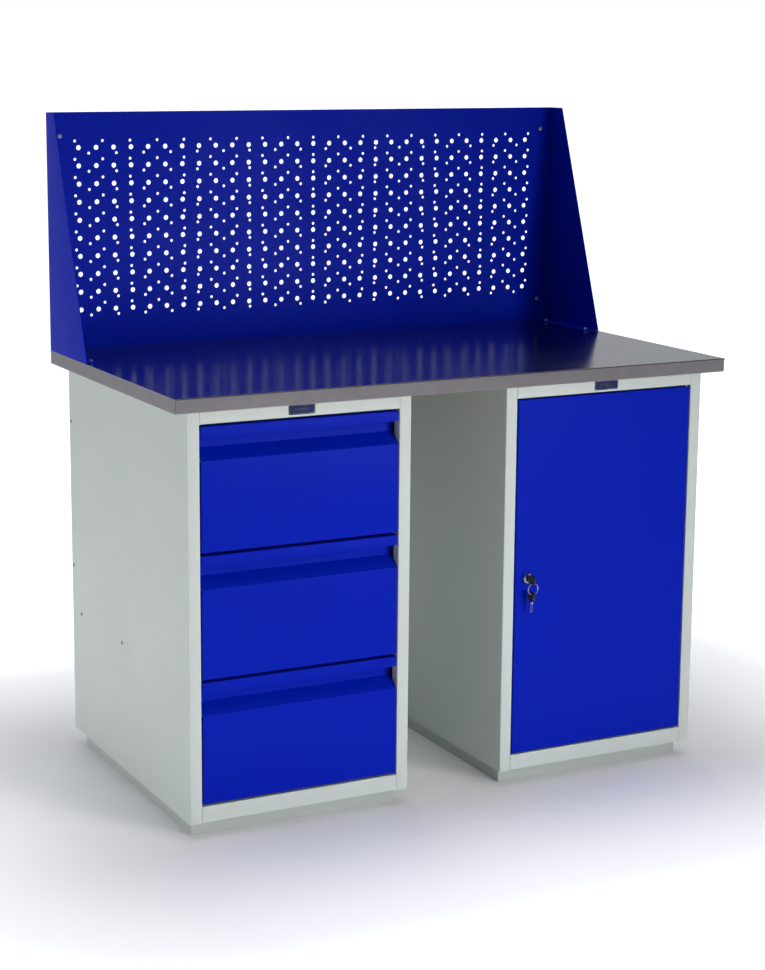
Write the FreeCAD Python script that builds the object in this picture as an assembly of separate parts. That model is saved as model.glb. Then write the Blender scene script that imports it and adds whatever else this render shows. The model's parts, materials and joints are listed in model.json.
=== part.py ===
"""Steel workbench: two pedestals, a sheet-covered worktop and a perforated back screen.

Frame: millimetres, +X to the user's right, +Y to the rear, +Z up.  The origin is on the floor under the
middle of the worktop, so the drawers pull out and the door opens towards -Y.
"""
import FreeCAD
import Part
import math
import os

# Overall sizes
BENCH_W = 1200.0
BENCH_D = 680.0
WORKTOP_Z = 845.0
SCREEN_H = 485.0

# Sheet steel
SHEET = 1.2
BOX_SHEET = 1.0
COVER_SHEET = 1.5
BEND_R = 2.0

# Worktop: a board inside a folded cover
BOARD_T = 24.0
COVER_RETURN = 20.0
COVER_REAR_RETURN = 8.0
SEAM_GAP = 0.5

# Pedestals
PEDESTAL_W = 460.0
SIDE_OVERHANG = 35.0
FRONT_Y = -310.0
REAR_Y = 330.0
BODY_Z = 32.0
STILE_W = 25.0
STILE_RETURN = 20.8
REAR_FLANGE = 15.0
OPENING_Z = (64.0, 790.0)
DOOR_STOP_W = 10.0
PLINTH_INSET_FRONT = 30.0
PLINTH_INSET_SIDE = 15.0
SHELF_Z = 429.0
SHELF_EDGE = 25.0
FIT_GAP = 0.2

# Drawers, counted from the top
DRAWER_COUNT = 3
DRAWER_H = 236.0
DRAWER_GAP = 5.0
FRONT_SIDE_GAP = 2.5
LIP_H = 19.5
HANDLE_DEPTH = 27.0
HANDLE_WALL_H = 43.0
HANDLE_END_H = 64.5
FRONT_RETURN = 18.0
BOX_REAR_Y = 250.0
BOX_RISE = 12.0
BOX_DROP = 40.0

# Drawer slides, seen from the side wall inwards
SLIDE_T = 13.0
SLIDE_LENGTH = 500.0
SLIDE_FRONT_Y = -287.0
SLIDE_RISE = 72.0
OUTER_HALF_H = 23.0
MIDDLE_HALF_H = 18.0
INNER_HALF_H = 13.0
BALL_R = 1.6
BALL_PITCH = 22.0
BALLS_PER_CAGE = 8
UPRIGHT_Y = (-250.0, 15.0, 253.0)
UPRIGHT_HALF_W = 18.0
UPRIGHT_FLANGE = 12.0

# Door, lock and keys
DOOR_DEPTH = 20.0
DOOR_EDGE_GAP = 3.0
HINGE_INSET = 5.0
HINGE_PIN_R = 2.5
BUSH_R = 3.5
LOCK_INSET = 29.5
LOCK_BODY_R = 9.0
LOCK_FLANGE_R = 10.5
LOCK_PLUG_R = 6.0
CAM_LENGTH = 45.0
CAM_W = 14.0
CAM_T = 2.0
LOCK_SQUARE_HALF = 3.5
KEY_T = 2.0
KEY_W = 8.0
KEY_BLADE_LENGTH = 22.0
KEY_HEAD_T = 6.0
KEY_HEAD_LENGTH = 20.0
KEY_HEAD_HALF_H = 9.5
KEY_HOLE_R = 3.0
KEY_POCKET = 5.0
RING_R = 11.2
RING_WIRE_R = 0.8
HANG_GAP = 0.7

# Screen
GUSSET_TOP_D = 50.0
GUSSET_BOTTOM_D = 220.0
GUSSET_REAR_FLANGE = 40.0
GUSSET_FOOT_FLANGE = 30.0
HEM_W = 14.0
HOLE_COLUMNS = 29
HOLE_ROWS = 10
HOLE_PITCH_X = 38.0
HOLE_PITCH_Z = 37.0
HOLE_ROW_Z = 80.0
HOLE_R = 5.0
SMALL_HOLE_COLUMNS = 19
SMALL_HOLE_R = 3.0
SMALL_HOLE_PITCH = 60.0
SMALL_HOLE_RISE = 13.5
SMALL_HOLE_DROP = 11.5

# Fasteners
SCREW_SLACK = 0.05
PANEL_SCREW_R = 2.5
GUSSET_SCREW_R = 3.0
WORKTOP_SCREW_R = 3.0
CAM_SCREW_R = 2.0
RIVET_R = 2.0
RIVET_PLACES = [(320.0, 697.0), (320.0, 390.0), (277.0, 294.0), (39.0, 294.0)]

# Derived places
HALF_W = BENCH_W / 2
HALF_D = BENCH_D / 2
BOARD_Z = (WORKTOP_Z - COVER_SHEET - BOARD_T, WORKTOP_Z - COVER_SHEET)
COVER_Z = BOARD_Z[0] - COVER_SHEET
SCREEN_Z = WORKTOP_Z + SCREEN_H
SCREEN_Y = HALF_D - 2 * COVER_SHEET
BODY_TOP = BOARD_Z[0]
HALF_PEDESTAL = PEDESTAL_W / 2
HALF_OPENING = HALF_PEDESTAL - STILE_W
DRAWER_X = -(HALF_W - SIDE_OVERHANG - HALF_PEDESTAL)
DOOR_PEDESTAL_X = -DRAWER_X
DOOR_X = (DOOR_PEDESTAL_X - HALF_OPENING + FRONT_SIDE_GAP, DOOR_PEDESTAL_X + HALF_OPENING - FRONT_SIDE_GAP)
DOOR_Z = (OPENING_Z[0] + DOOR_EDGE_GAP, OPENING_Z[1] - DOOR_EDGE_GAP)
HINGE_X = DOOR_X[1] - HINGE_INSET
HINGE_Y = FRONT_Y + HINGE_INSET
LOCK_X = DOOR_X[0] + LOCK_INSET
LOCK_Z = (DOOR_Z[0] + DOOR_Z[1]) / 2
LOCK = (LOCK_X, LOCK_Z)
LOCK_FACE_Y = FRONT_Y - 3.0
LOCK_REAR_Y = FRONT_Y + DOOR_DEPTH + 1.5
CAM_Y = FRONT_Y + STILE_RETURN + SHEET + 0.8
KEY_FACE_Y = LOCK_FACE_Y - 1.0
KEY_ROOT_Y = KEY_FACE_Y - 2.0
KEY_HOLE = (KEY_ROOT_Y - 14.0, LOCK_Z - 5.0)
RING_PIVOT_Z = KEY_HOLE[1] - KEY_HOLE_R + RING_WIRE_R + HANG_GAP
RING_Z = RING_PIVOT_Z - RING_R
SPARE_PIVOT_Z = RING_Z - RING_R
DRAWER_STACK = DRAWER_COUNT * DRAWER_H + (DRAWER_COUNT - 1) * DRAWER_GAP
FIRST_DRAWER_TOP = OPENING_Z[1] - (OPENING_Z[1] - OPENING_Z[0] - DRAWER_STACK) / 2


# ---------------------------------------------------------------- building blocks

def box(x, y, z):
    """A block between two values on each axis."""
    corner = FreeCAD.Vector(x[0], y[0], z[0])
    return Part.makeBox(x[1] - x[0], y[1] - y[0], z[1] - z[0], corner)


def point(axis, along, u, v):
    """The place at (u, v) in the plane across an axis, in X, Y, Z order."""
    values = [u, v]
    values.insert("xyz".index(axis), along)
    return FreeCAD.Vector(*values)


def direction(axis, length=1.0):
    return point(axis, length, 0.0, 0.0)


def prism(outline, axis, span):
    """A closed outline across an axis, extruded between two values on it."""
    corners = [point(axis, span[0], u, v) for u, v in outline]
    face = Part.Face(Part.makePolygon(corners + corners[:1]))
    return face.extrude(direction(axis, span[1] - span[0]))


def cylinder(radius, axis, span, centre):
    """A round bar along an axis, with its centre line at (u, v)."""
    start = point(axis, span[0], *centre)
    return Part.makeCylinder(radius, span[1] - span[0], start, direction(axis))


def tube(outer, inner, axis, span, centre):
    return cylinder(outer, axis, span, centre).cut(cylinder(inner, axis, span, centre))


def union(pieces):
    return pieces[0].fuse(pieces[1:]).removeSplitter()


def group(solids):
    return Part.makeCompound(solids)


def mirrored(shape, centre_x):
    return shape.mirror(FreeCAD.Vector(centre_x, 0, 0), FreeCAD.Vector(1, 0, 0))


def strip_outline(path, thickness):
    """The outline of a bent strip: the path, and the same path moved to its right by the thickness."""
    moved = []
    for (u0, v0), (u1, v1) in zip(path, path[1:]):
        length = math.hypot(u1 - u0, v1 - v0)
        shift = (thickness * (v1 - v0) / length, -thickness * (u1 - u0) / length)
        moved.append(((u0 + shift[0], v0 + shift[1]), (u1 + shift[0], v1 + shift[1])))
    far_side = [moved[0][0]]
    for first, second in zip(moved, moved[1:]):
        far_side.append(crossing(first, second))
    far_side.append(moved[-1][1])
    return list(path) + far_side[::-1]


def crossing(first, second):
    """Where two straight lines, each given by two points, meet."""
    (x1, y1), (x2, y2) = first
    (x3, y3), (x4, y4) = second
    turn = (x1 - x2) * (y3 - y4) - (y1 - y2) * (x3 - x4)
    a = x1 * y2 - y1 * x2
    b = x3 * y4 - y3 * x4
    return ((a * (x3 - x4) - (x1 - x2) * b) / turn, (a * (y3 - y4) - (y1 - y2) * b) / turn)


def bent_sheet(path, axis, span, thickness=SHEET):
    return prism(strip_outline(path, thickness), axis, span)


def rounded(shape, radius, axis, places):
    """Round the straight edges that run along an axis through the given (u, v) places."""
    chosen = []
    for edge in shape.Edges:
        ends = [vertex.Point for vertex in edge.Vertexes]
        if len(ends) != 2 or abs((ends[1] - ends[0]).normalize().dot(direction(axis))) < 0.999:
            continue
        middle = (ends[0] + ends[1]) * 0.5
        if any((middle - point(axis, getattr(middle, axis), u, v)).Length < 0.01 for u, v in places):
            chosen.append(edge)
    return shape.makeFillet(radius, chosen)


def domed_head(radius, height, axis, base, centre, side):
    """A low screw head with a rounded crown, standing on a surface, on the given side of it."""
    start = point(axis, base, *centre)
    head = Part.makeCylinder(radius, height, start, direction(axis, side))
    crown = [edge for edge in head.Edges if abs((edge.CenterOfMass - start).Length - height) < 0.01
             and len(edge.Vertexes) == 1]
    return head.makeFillet(height * 0.6, crown)


# ---------------------------------------------------------------- worktop and screen

def gusset_screw_places():
    inset = 18.0
    rear_y, front_y = 310.0, 145.0
    return [(side * (HALF_W - inset), y) for side in (-1, 1) for y in (front_y, rear_y)]


def worktop_screw_places():
    inset_x, inset_y = 60.0, 70.0
    places = []
    for centre_x in (DRAWER_X, DOOR_PEDESTAL_X):
        for side in (-1, 1):
            for y in (FRONT_Y + inset_y, REAR_Y - inset_y):
                places.append((centre_x + side * (HALF_PEDESTAL - inset_x), y))
    return places


def panel_screw_places():
    inset_x, low, high = 28.0, 50.0, 437.0
    return [(side * (HALF_W - inset_x), WORKTOP_Z + z) for side in (-1, 1) for z in (low, high)]


def worktop_board():
    slack = COVER_SHEET
    board = box((-HALF_W + slack, HALF_W - slack), (-HALF_D + slack, HALF_D - slack), BOARD_Z)
    depth = 19.0
    holes = [cylinder(GUSSET_SCREW_R + SCREW_SLACK, "z", (BOARD_Z[1] - depth, BOARD_Z[1]), place)
             for place in gusset_screw_places()]
    holes += [cylinder(WORKTOP_SCREW_R + SCREW_SLACK, "z", (BOARD_Z[0], BOARD_Z[0] + depth), place)
              for place in worktop_screw_places()]
    return board.cut(group(holes))


def worktop_cover():
    """A tray of sheet turned over the board: skirts on four sides, returned under the board."""
    block = box((-HALF_W, HALF_W), (-HALF_D, HALF_D), (COVER_Z, WORKTOP_Z))
    top_edges = [edge for edge in block.Edges
                 if all(abs(vertex.Z - WORKTOP_Z) < 0.01 for vertex in edge.Vertexes)]
    block = block.makeFillet(BEND_R, top_edges)
    inner_x = HALF_W - COVER_SHEET
    inner_y = HALF_D - COVER_SHEET
    inside = box((-inner_x, inner_x), (-inner_y, inner_y), BOARD_Z)
    mouth = box((-HALF_W + COVER_RETURN, HALF_W - COVER_RETURN),
                (-HALF_D + COVER_RETURN, HALF_D - COVER_REAR_RETURN), (COVER_Z, BOARD_Z[0]))
    cuts = [inside, mouth]
    seam_top = WORKTOP_Z - 2 * BEND_R
    for side_x in (-1, 1):
        for side_y in (-1, 1):
            seam_x = sorted((side_x * (inner_x - SEAM_GAP), side_x * HALF_W))
            seam_y = sorted((side_y * (inner_y - SEAM_GAP), side_y * HALF_D))
            cuts.append(box(seam_x, seam_y, (COVER_Z, seam_top)))
    cuts += [cylinder(GUSSET_SCREW_R + SCREW_SLACK, "z", (BOARD_Z[1], WORKTOP_Z), place)
             for place in gusset_screw_places()]
    return block.cut(cuts)


def perforation():
    """The centre and radius of every hole: rows of large holes, each with small ones above and below."""
    holes = []
    first_x = -(HOLE_COLUMNS - 1) / 2 * HOLE_PITCH_X
    first_small_x = -(SMALL_HOLE_COLUMNS - 1) / 2 * SMALL_HOLE_PITCH
    for row in range(HOLE_ROWS):
        z = WORKTOP_Z + HOLE_ROW_Z + row * HOLE_PITCH_Z
        for column in range(HOLE_COLUMNS):
            holes.append((first_x + column * HOLE_PITCH_X, z, HOLE_R))
        for column in range(SMALL_HOLE_COLUMNS):
            holes.append((first_small_x + column * SMALL_HOLE_PITCH, z + SMALL_HOLE_RISE, SMALL_HOLE_R))
        for column in range(SMALL_HOLE_COLUMNS - 1):
            x = first_small_x + (column + 0.5) * SMALL_HOLE_PITCH
            holes.append((x, z - SMALL_HOLE_DROP, SMALL_HOLE_R))
    return holes


def screen_panel():
    """The perforated sheet, hemmed flat to the rear along its top and bottom."""
    half = HALF_W - COVER_SHEET - FIT_GAP
    corners = [(-half, WORKTOP_Z), (half, WORKTOP_Z), (half, SCREEN_Z), (-half, SCREEN_Z)]
    wires = [Part.makePolygon([FreeCAD.Vector(x, SCREEN_Y, z) for x, z in corners + corners[:1]])]
    holes = perforation() + [(x, z, PANEL_SCREW_R + SCREW_SLACK) for x, z in panel_screw_places()]
    for x, z, radius in holes:
        wires.append(Part.Wire(Part.makeCircle(radius, FreeCAD.Vector(x, SCREEN_Y, z), direction("y"))))
    sheet = Part.makeFace(wires, "Part::FaceMakerBullseye").extrude(direction("y", COVER_SHEET))
    hem_half = HALF_W - COVER_SHEET - GUSSET_REAR_FLANGE - 1.0
    hem_y = (SCREEN_Y + COVER_SHEET, HALF_D)
    hems = [box((-hem_half, hem_half), hem_y, z)
            for z in ((WORKTOP_Z, WORKTOP_Z + HEM_W), (SCREEN_Z - HEM_W, SCREEN_Z))]
    return union([sheet] + hems)


def screen_gusset():
    """The left side cheek of the screen, with a rear flange behind the panel and a foot on the worktop."""
    outline = [(HALF_D, WORKTOP_Z), (HALF_D - GUSSET_BOTTOM_D, WORKTOP_Z),
               (HALF_D - GUSSET_TOP_D, SCREEN_Z), (HALF_D, SCREEN_Z)]
    outer_x = -HALF_W
    inner_x = outer_x + COVER_SHEET
    cheek = prism(outline, "x", (outer_x, inner_x))
    rear = box((inner_x, inner_x + GUSSET_REAR_FLANGE), (HALF_D - COVER_SHEET, HALF_D),
               (WORKTOP_Z, SCREEN_Z))
    foot_front_y = HALF_D - GUSSET_BOTTOM_D + 6.0
    foot = box((outer_x, outer_x + GUSSET_FOOT_FLANGE), (foot_front_y, SCREEN_Y - 1.0),
               (WORKTOP_Z, WORKTOP_Z + COVER_SHEET))
    gusset = union([cheek, rear, foot])
    holes = [cylinder(GUSSET_SCREW_R + SCREW_SLACK, "z", (WORKTOP_Z, WORKTOP_Z + COVER_SHEET), place)
             for place in gusset_screw_places() if place[0] < 0]
    holes += [cylinder(PANEL_SCREW_R + SCREW_SLACK, "y", (SCREEN_Y, HALF_D), place)
              for place in panel_screw_places() if place[0] < 0]
    return gusset.cut(holes)


def panel_screws():
    """Pan-head screws through the panel into the cheeks' rear flanges."""
    head_r, head_h = 4.6, 2.4
    screws = []
    for place in panel_screw_places():
        shank = cylinder(PANEL_SCREW_R, "y", (SCREEN_Y - 0.5, HALF_D - 0.2), place)
        screws.append(union([domed_head(head_r, head_h, "y", SCREEN_Y, place, -1), shank]))
    return screws


def gusset_screws():
    """Pan-head screws through the cheeks' feet and the cover into the board."""
    head_r, head_h, length = 4.8, 4.4, 20.0
    surface = WORKTOP_Z + COVER_SHEET
    screws = []
    for place in gusset_screw_places():
        shank = cylinder(GUSSET_SCREW_R, "z", (surface - length, surface + 0.5), place)
        screws.append(union([domed_head(head_r, head_h, "z", surface, place, 1), shank]))
    return screws


def worktop_screws():
    """Screws from inside the pedestals up into the board."""
    head_r, head_h, length = 6.0, 3.5, 18.0
    surface = BODY_TOP - SHEET
    screws = []
    for place in worktop_screw_places():
        shank = cylinder(WORKTOP_SCREW_R, "z", (surface - 0.5, surface + length), place)
        screws.append(union([domed_head(head_r, head_h, "z", surface, place, -1), shank]))
    return group(screws)


# ---------------------------------------------------------------- pedestals

def pedestal_side(centre_x, rivets):
    """The flat left side of a pedestal, butted against the rear edge of the stile."""
    x = (centre_x - HALF_PEDESTAL, centre_x - HALF_PEDESTAL + SHEET)
    side = box(x, (FRONT_Y + STILE_RETURN, REAR_Y), (BODY_Z, BODY_TOP))
    holes = [cylinder(RIVET_R + SCREW_SLACK, "x", x, place) for place in rivets]
    return side.cut(holes) if holes else side


def pedestal_stiles(centre_x, stop):
    """The two front stiles: channels whose outer walls run on into the sides."""
    x0 = centre_x - HALF_PEDESTAL
    stile_x = x0 + STILE_W
    inner_y = FRONT_Y + STILE_RETURN
    path = [(stile_x, inner_y), (stile_x, FRONT_Y), (x0, FRONT_Y), (x0, inner_y)]
    stile = bent_sheet(path, "z", (BODY_Z, BODY_TOP))
    left = stile = rounded(stile, BEND_R, "z", [(x0, FRONT_Y), (stile_x, FRONT_Y)])
    if stop:
        stop_z = (OPENING_Z[0] + 0.5, OPENING_Z[1] - 0.5)
        tab = box((stile_x - SHEET, stile_x + DOOR_STOP_W), (inner_y, inner_y + SHEET), stop_z)
        left = union([stile, tab])
    return group([left, mirrored(stile, centre_x)])


def pedestal_back(centre_x, rivets):
    """A flat rear panel; where it is riveted, a flange is turned forward at each side."""
    x = (centre_x - HALF_PEDESTAL + SHEET, centre_x + HALF_PEDESTAL - SHEET)
    z = (BODY_Z + SHEET, BODY_TOP)
    if not rivets:
        return box(x, (REAR_Y - SHEET, REAR_Y), z)
    path = [(x[0], REAR_Y - REAR_FLANGE), (x[0], REAR_Y), (x[1], REAR_Y), (x[1], REAR_Y - REAR_FLANGE)]
    holes = [cylinder(RIVET_R + SCREW_SLACK, "x", x, place) for place in rivets]
    return bent_sheet(path, "z", z).cut(holes)


def inner_plate(centre_x, z):
    """A level plate between the walls of a pedestal, notched round the flanges of the back."""
    front_y = FRONT_Y + STILE_RETURN + FIT_GAP
    flange_y = REAR_Y - REAR_FLANGE - FIT_GAP
    half = HALF_PEDESTAL - SHEET
    main = box((centre_x - half, centre_x + half), (front_y, flange_y), z)
    half -= SHEET
    return [main, box((centre_x - half, centre_x + half), (flange_y, REAR_Y - SHEET), z)]


def pedestal_floor(centre_x):
    """The inner floor, folded down in front as the bottom rail and turned back on to the plinth."""
    x = (centre_x - HALF_OPENING, centre_x + HALF_OPENING)
    inner_y = FRONT_Y + STILE_RETURN + FIT_GAP
    top_z = OPENING_Z[0]
    path = [(inner_y, BODY_Z), (FRONT_Y, BODY_Z), (FRONT_Y, top_z), (inner_y, top_z)]
    rail = bent_sheet(path, "x", x)
    rail = rounded(rail, BEND_R, "x", [(FRONT_Y, top_z), (FRONT_Y, BODY_Z)])
    pin_hole = cylinder(HINGE_PIN_R, "z", (BODY_Z, top_z), (HINGE_X, HINGE_Y))
    return union([rail] + inner_plate(centre_x, (top_z - SHEET, top_z))).cut(pin_hole)


def pedestal_top_rail(centre_x):
    """The front rail above the opening: a face and a return."""
    x = (centre_x - HALF_OPENING, centre_x + HALF_OPENING)
    path = [(FRONT_Y, BODY_TOP), (FRONT_Y, OPENING_Z[1]), (FRONT_Y + STILE_RETURN, OPENING_Z[1])]
    rail = bent_sheet([(y, z) for y, z in reversed(path)], "x", x)
    rail = rounded(rail, BEND_R, "x", [(FRONT_Y, OPENING_Z[1])])
    return rail.cut(cylinder(HINGE_PIN_R, "z", (OPENING_Z[1], BODY_TOP), (HINGE_X, HINGE_Y)))


def pedestal_top_plate(centre_x):
    """The plate under the worktop, tongued forward between the stiles."""
    x = (centre_x - HALF_OPENING, centre_x + HALF_OPENING)
    z = (BODY_TOP - SHEET, BODY_TOP)
    tongue = box(x, (FRONT_Y + SHEET, FRONT_Y + STILE_RETURN + FIT_GAP), z)
    holes = [cylinder(WORKTOP_SCREW_R + SCREW_SLACK, "z", z, place) for place in worktop_screw_places()]
    return union([tongue] + inner_plate(centre_x, z)).cut(holes)


def pedestal_plinth(centre_x):
    """The recessed base: a shallow pan on the floor, with a rim that closes the body's underside."""
    x = (centre_x - HALF_PEDESTAL + PLINTH_INSET_SIDE, centre_x + HALF_PEDESTAL - PLINTH_INSET_SIDE)
    y = (FRONT_Y + PLINTH_INSET_FRONT, REAR_Y - PLINTH_INSET_FRONT)
    half = HALF_PEDESTAL - SHEET
    rim_y = (FRONT_Y + STILE_RETURN + FIT_GAP, REAR_Y)
    pan = box(x, y, (0, BODY_Z))
    rim = box((centre_x - half, centre_x + half), rim_y, (BODY_Z, BODY_Z + SHEET))
    inside = box((x[0] + SHEET, x[1] - SHEET), (y[0] + SHEET, y[1] - SHEET), (SHEET, BODY_Z + SHEET))
    return union([pan, rim]).cut(inside)


def blank_plate(centre_x):
    """A small plate without lettering on the top rail."""
    width, height, thickness, centre_z = 54.0, 19.0, 1.4, 804.0
    plate = box((centre_x - width / 2, centre_x + width / 2), (FRONT_Y - thickness, FRONT_Y),
                (centre_z - height / 2, centre_z + height / 2))
    corners = [(centre_x + sx * width / 2, centre_z + sz * height / 2) for sx in (-1, 1) for sz in (-1, 1)]
    return rounded(plate, BEND_R, "y", corners)


def side_rivets():
    """Blind rivets through both sides of the drawer pedestal, heads outside."""
    head_r, head_h, tail = 4.0, 1.3, 4.0
    x0 = DRAWER_X - HALF_PEDESTAL
    rivets = []
    for place in RIVET_PLACES:
        head = domed_head(head_r, head_h, "x", x0, place, -1)
        shank = cylinder(RIVET_R, "x", (x0 - 0.3, x0 + tail), place)
        rivets.append(union([head, shank]))
    return group(rivets + [mirrored(rivet, DRAWER_X) for rivet in rivets])


def slide_uprights():
    """Hat-section uprights that carry the slides, three inside each side of the drawer pedestal."""
    wall_x = DRAWER_X - HALF_PEDESTAL + SHEET
    foot_x = wall_x + SHEET
    crown_x = DRAWER_X - HALF_OPENING
    z = (OPENING_Z[0] + 2, OPENING_Z[1] - 2)
    foot = UPRIGHT_HALF_W + UPRIGHT_FLANGE
    uprights = []
    for y in UPRIGHT_Y:
        low, high = y - UPRIGHT_HALF_W, y + UPRIGHT_HALF_W
        near = [(foot_x, y + foot), (foot_x, high), (crown_x, high)]
        far = [(crown_x, low), (foot_x, low), (foot_x, y - foot)]
        hat = bent_sheet(near + far, "z", z)
        holes = [cylinder(RIVET_R + SCREW_SLACK, "x", (wall_x, wall_x + SHEET), place)
                 for place in RIVET_PLACES if abs(place[0] - y) < foot]
        uprights.append(hat.cut(holes) if holes else hat)
    return group(uprights + [mirrored(upright, DRAWER_X) for upright in uprights])


def shelf():
    """A loose shelf with its four edges turned down."""
    play, front_setback = 2.0, 45.0
    half = HALF_PEDESTAL - SHEET - play
    x = (DOOR_PEDESTAL_X - half, DOOR_PEDESTAL_X + half)
    y = (FRONT_Y + front_setback, REAR_Y - 2 * SHEET - play)
    z = (SHELF_Z - SHELF_EDGE, SHELF_Z)
    inside = box((x[0] + SHEET, x[1] - SHEET), (y[0] + SHEET, y[1] - SHEET), (z[0], z[1] - SHEET))
    return box(x, y, z).cut(inside)


def shelf_clips():
    """Angle clips under the four corners of the shelf."""
    reach, height, length = 11.0, 14.0, 22.0
    wall_x = DOOR_PEDESTAL_X - HALF_PEDESTAL + SHEET
    z = SHELF_Z - SHELF_EDGE
    clips = []
    for y in (FRONT_Y + 85.0, REAR_Y - 75.0):
        path = [(wall_x + reach, z - SHEET), (wall_x + SHEET, z - SHEET), (wall_x + SHEET, z - height)]
        clip = bent_sheet(path, "y", (y, y + length))
        clips += [clip, mirrored(clip, DOOR_PEDESTAL_X)]
    return group(clips)


def hinge_pins():
    """The two fixed pivot pins of the door, in the floor and in the top rail."""
    reach, engage = 6.0, 5.0
    low = cylinder(HINGE_PIN_R, "z", (OPENING_Z[0] - reach, DOOR_Z[0] + engage), (HINGE_X, HINGE_Y))
    high = cylinder(HINGE_PIN_R, "z", (DOOR_Z[1] - engage, OPENING_Z[1] + reach), (HINGE_X, HINGE_Y))
    return group([low, high])


# ---------------------------------------------------------------- drawers

def drawer_top(index):
    return FIRST_DRAWER_TOP - index * (DRAWER_H + DRAWER_GAP)


def drawer_front(index):
    """One folded sheet: a full-width hooked handle along the top, a flat face and its returns."""
    top = drawer_top(index)
    bottom = top - DRAWER_H
    wall_y = FRONT_Y + HANDLE_DEPTH
    face_y = FRONT_Y + SHEET
    half = HALF_OPENING - FRONT_SIDE_GAP
    path = [(FRONT_Y, top - LIP_H), (FRONT_Y, top), (wall_y, top), (wall_y, top - HANDLE_WALL_H),
            (face_y, top - HANDLE_END_H), (face_y, bottom + SHEET), (FRONT_Y + FRONT_RETURN, bottom + SHEET)]
    sheet = bent_sheet(path, "x", (DRAWER_X - half, DRAWER_X + half))
    sheet = rounded(sheet, BEND_R, "x", [(FRONT_Y, top), (wall_y, top), (FRONT_Y, bottom)])
    z = (bottom + SHEET, top - HANDLE_END_H)
    pieces = [sheet]
    for x in (DRAWER_X - half, DRAWER_X + half - SHEET):
        pieces.append(box((x, x + SHEET), (FRONT_Y + SHEET, FRONT_Y + FRONT_RETURN), z))
    return union(pieces)


def drawer_box(index):
    """The open steel box behind the front."""
    top = drawer_top(index)
    half = HALF_OPENING - SLIDE_T
    x = (DRAWER_X - half, DRAWER_X + half)
    y = (FRONT_Y + HANDLE_DEPTH, BOX_REAR_Y)
    z = (top - DRAWER_H + BOX_RISE, top - BOX_DROP)
    inside = box((x[0] + BOX_SHEET, x[1] - BOX_SHEET), (y[0] + BOX_SHEET, y[1] - BOX_SHEET),
                 (z[0] + BOX_SHEET, z[1]))
    return box(x, y, z).cut(inside)


def channel(web_x, edge_x, half_h, y):
    """A C-section slide member from its web to its free edges."""
    web = (min(web_x, edge_x), max(web_x, edge_x))
    block = box(web, y, (-half_h, half_h))
    toward = 1 if edge_x > web_x else -1
    hollow = sorted((web_x + toward * SHEET, edge_x + toward * SHEET))
    return block.cut(box(hollow, y, (-half_h + SHEET, half_h - SHEET)))


def slide_pair(member, index):
    """A slide member placed on both sides of a drawer."""
    top = drawer_top(index)
    left = member.translated(FreeCAD.Vector(DRAWER_X - HALF_OPENING, 0, top - DRAWER_H + SLIDE_RISE))
    return group([left, mirrored(left, DRAWER_X)])


def slide_outer(index):
    y = (SLIDE_FRONT_Y, SLIDE_FRONT_Y + SLIDE_LENGTH)
    return slide_pair(channel(0.0, 9.5, OUTER_HALF_H, y), index)


def slide_middle(index):
    y = (SLIDE_FRONT_Y + 2, SLIDE_FRONT_Y + SLIDE_LENGTH - 8)
    return slide_pair(channel(2.4, 10.2, MIDDLE_HALF_H, y), index)


def slide_inner(index):
    y = (SLIDE_FRONT_Y + 4, SLIDE_FRONT_Y + SLIDE_LENGTH)
    return slide_pair(channel(SLIDE_T, 5.2, INNER_HALF_H, y), index)


def ball_cages(index):
    """Strips of balls that run above and below the middle member, outside and inside it."""
    cage_t, cage_x, ball_x = 0.8, (4.2, 7.8), 6.0
    gap_out = (OUTER_HALF_H - SHEET + MIDDLE_HALF_H) / 2
    gap_in = (MIDDLE_HALF_H - SHEET + INNER_HALF_H) / 2
    start_y = SLIDE_FRONT_Y + SLIDE_LENGTH / 2 - BALLS_PER_CAGE * BALL_PITCH / 2
    solids = []
    strip_y = (start_y, start_y + BALLS_PER_CAGE * BALL_PITCH)
    for z in (-gap_out, -gap_in, gap_in, gap_out):
        strip = box(cage_x, strip_y, (z - cage_t / 2, z + cage_t / 2))
        balls = [Part.makeSphere(BALL_R, FreeCAD.Vector(ball_x, start_y + (n + 0.5) * BALL_PITCH, z))
                 for n in range(BALLS_PER_CAGE)]
        solids.append(union([strip] + balls))
    place = FreeCAD.Vector(DRAWER_X - HALF_OPENING, 0, drawer_top(index) - DRAWER_H + SLIDE_RISE)
    left = [solid.translated(place) for solid in solids]
    return group(left + [mirrored(solid, DRAWER_X) for solid in left])


# ---------------------------------------------------------------- door, lock and keys

def door_skin():
    """The door: a flat face with all four edges turned back."""
    rear_y = FRONT_Y + DOOR_DEPTH
    block = box(DOOR_X, (FRONT_Y, rear_y), DOOR_Z)
    front_edges = [edge for edge in block.Edges
                   if all(abs(vertex.Y - FRONT_Y) < 0.01 for vertex in edge.Vertexes)]
    block = block.makeFillet(BEND_R - 0.5, front_edges)
    inside = box((DOOR_X[0] + SHEET, DOOR_X[1] - SHEET), (FRONT_Y + SHEET, rear_y),
                 (DOOR_Z[0] + SHEET, DOOR_Z[1] - SHEET))
    lock_hole = cylinder(LOCK_BODY_R, "y", (FRONT_Y, FRONT_Y + SHEET), (LOCK_X, LOCK_Z))
    bush_hole = cylinder(BUSH_R, "z", DOOR_Z, (HINGE_X, HINGE_Y))
    return block.cut([inside, lock_hole, bush_hole])


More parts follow.
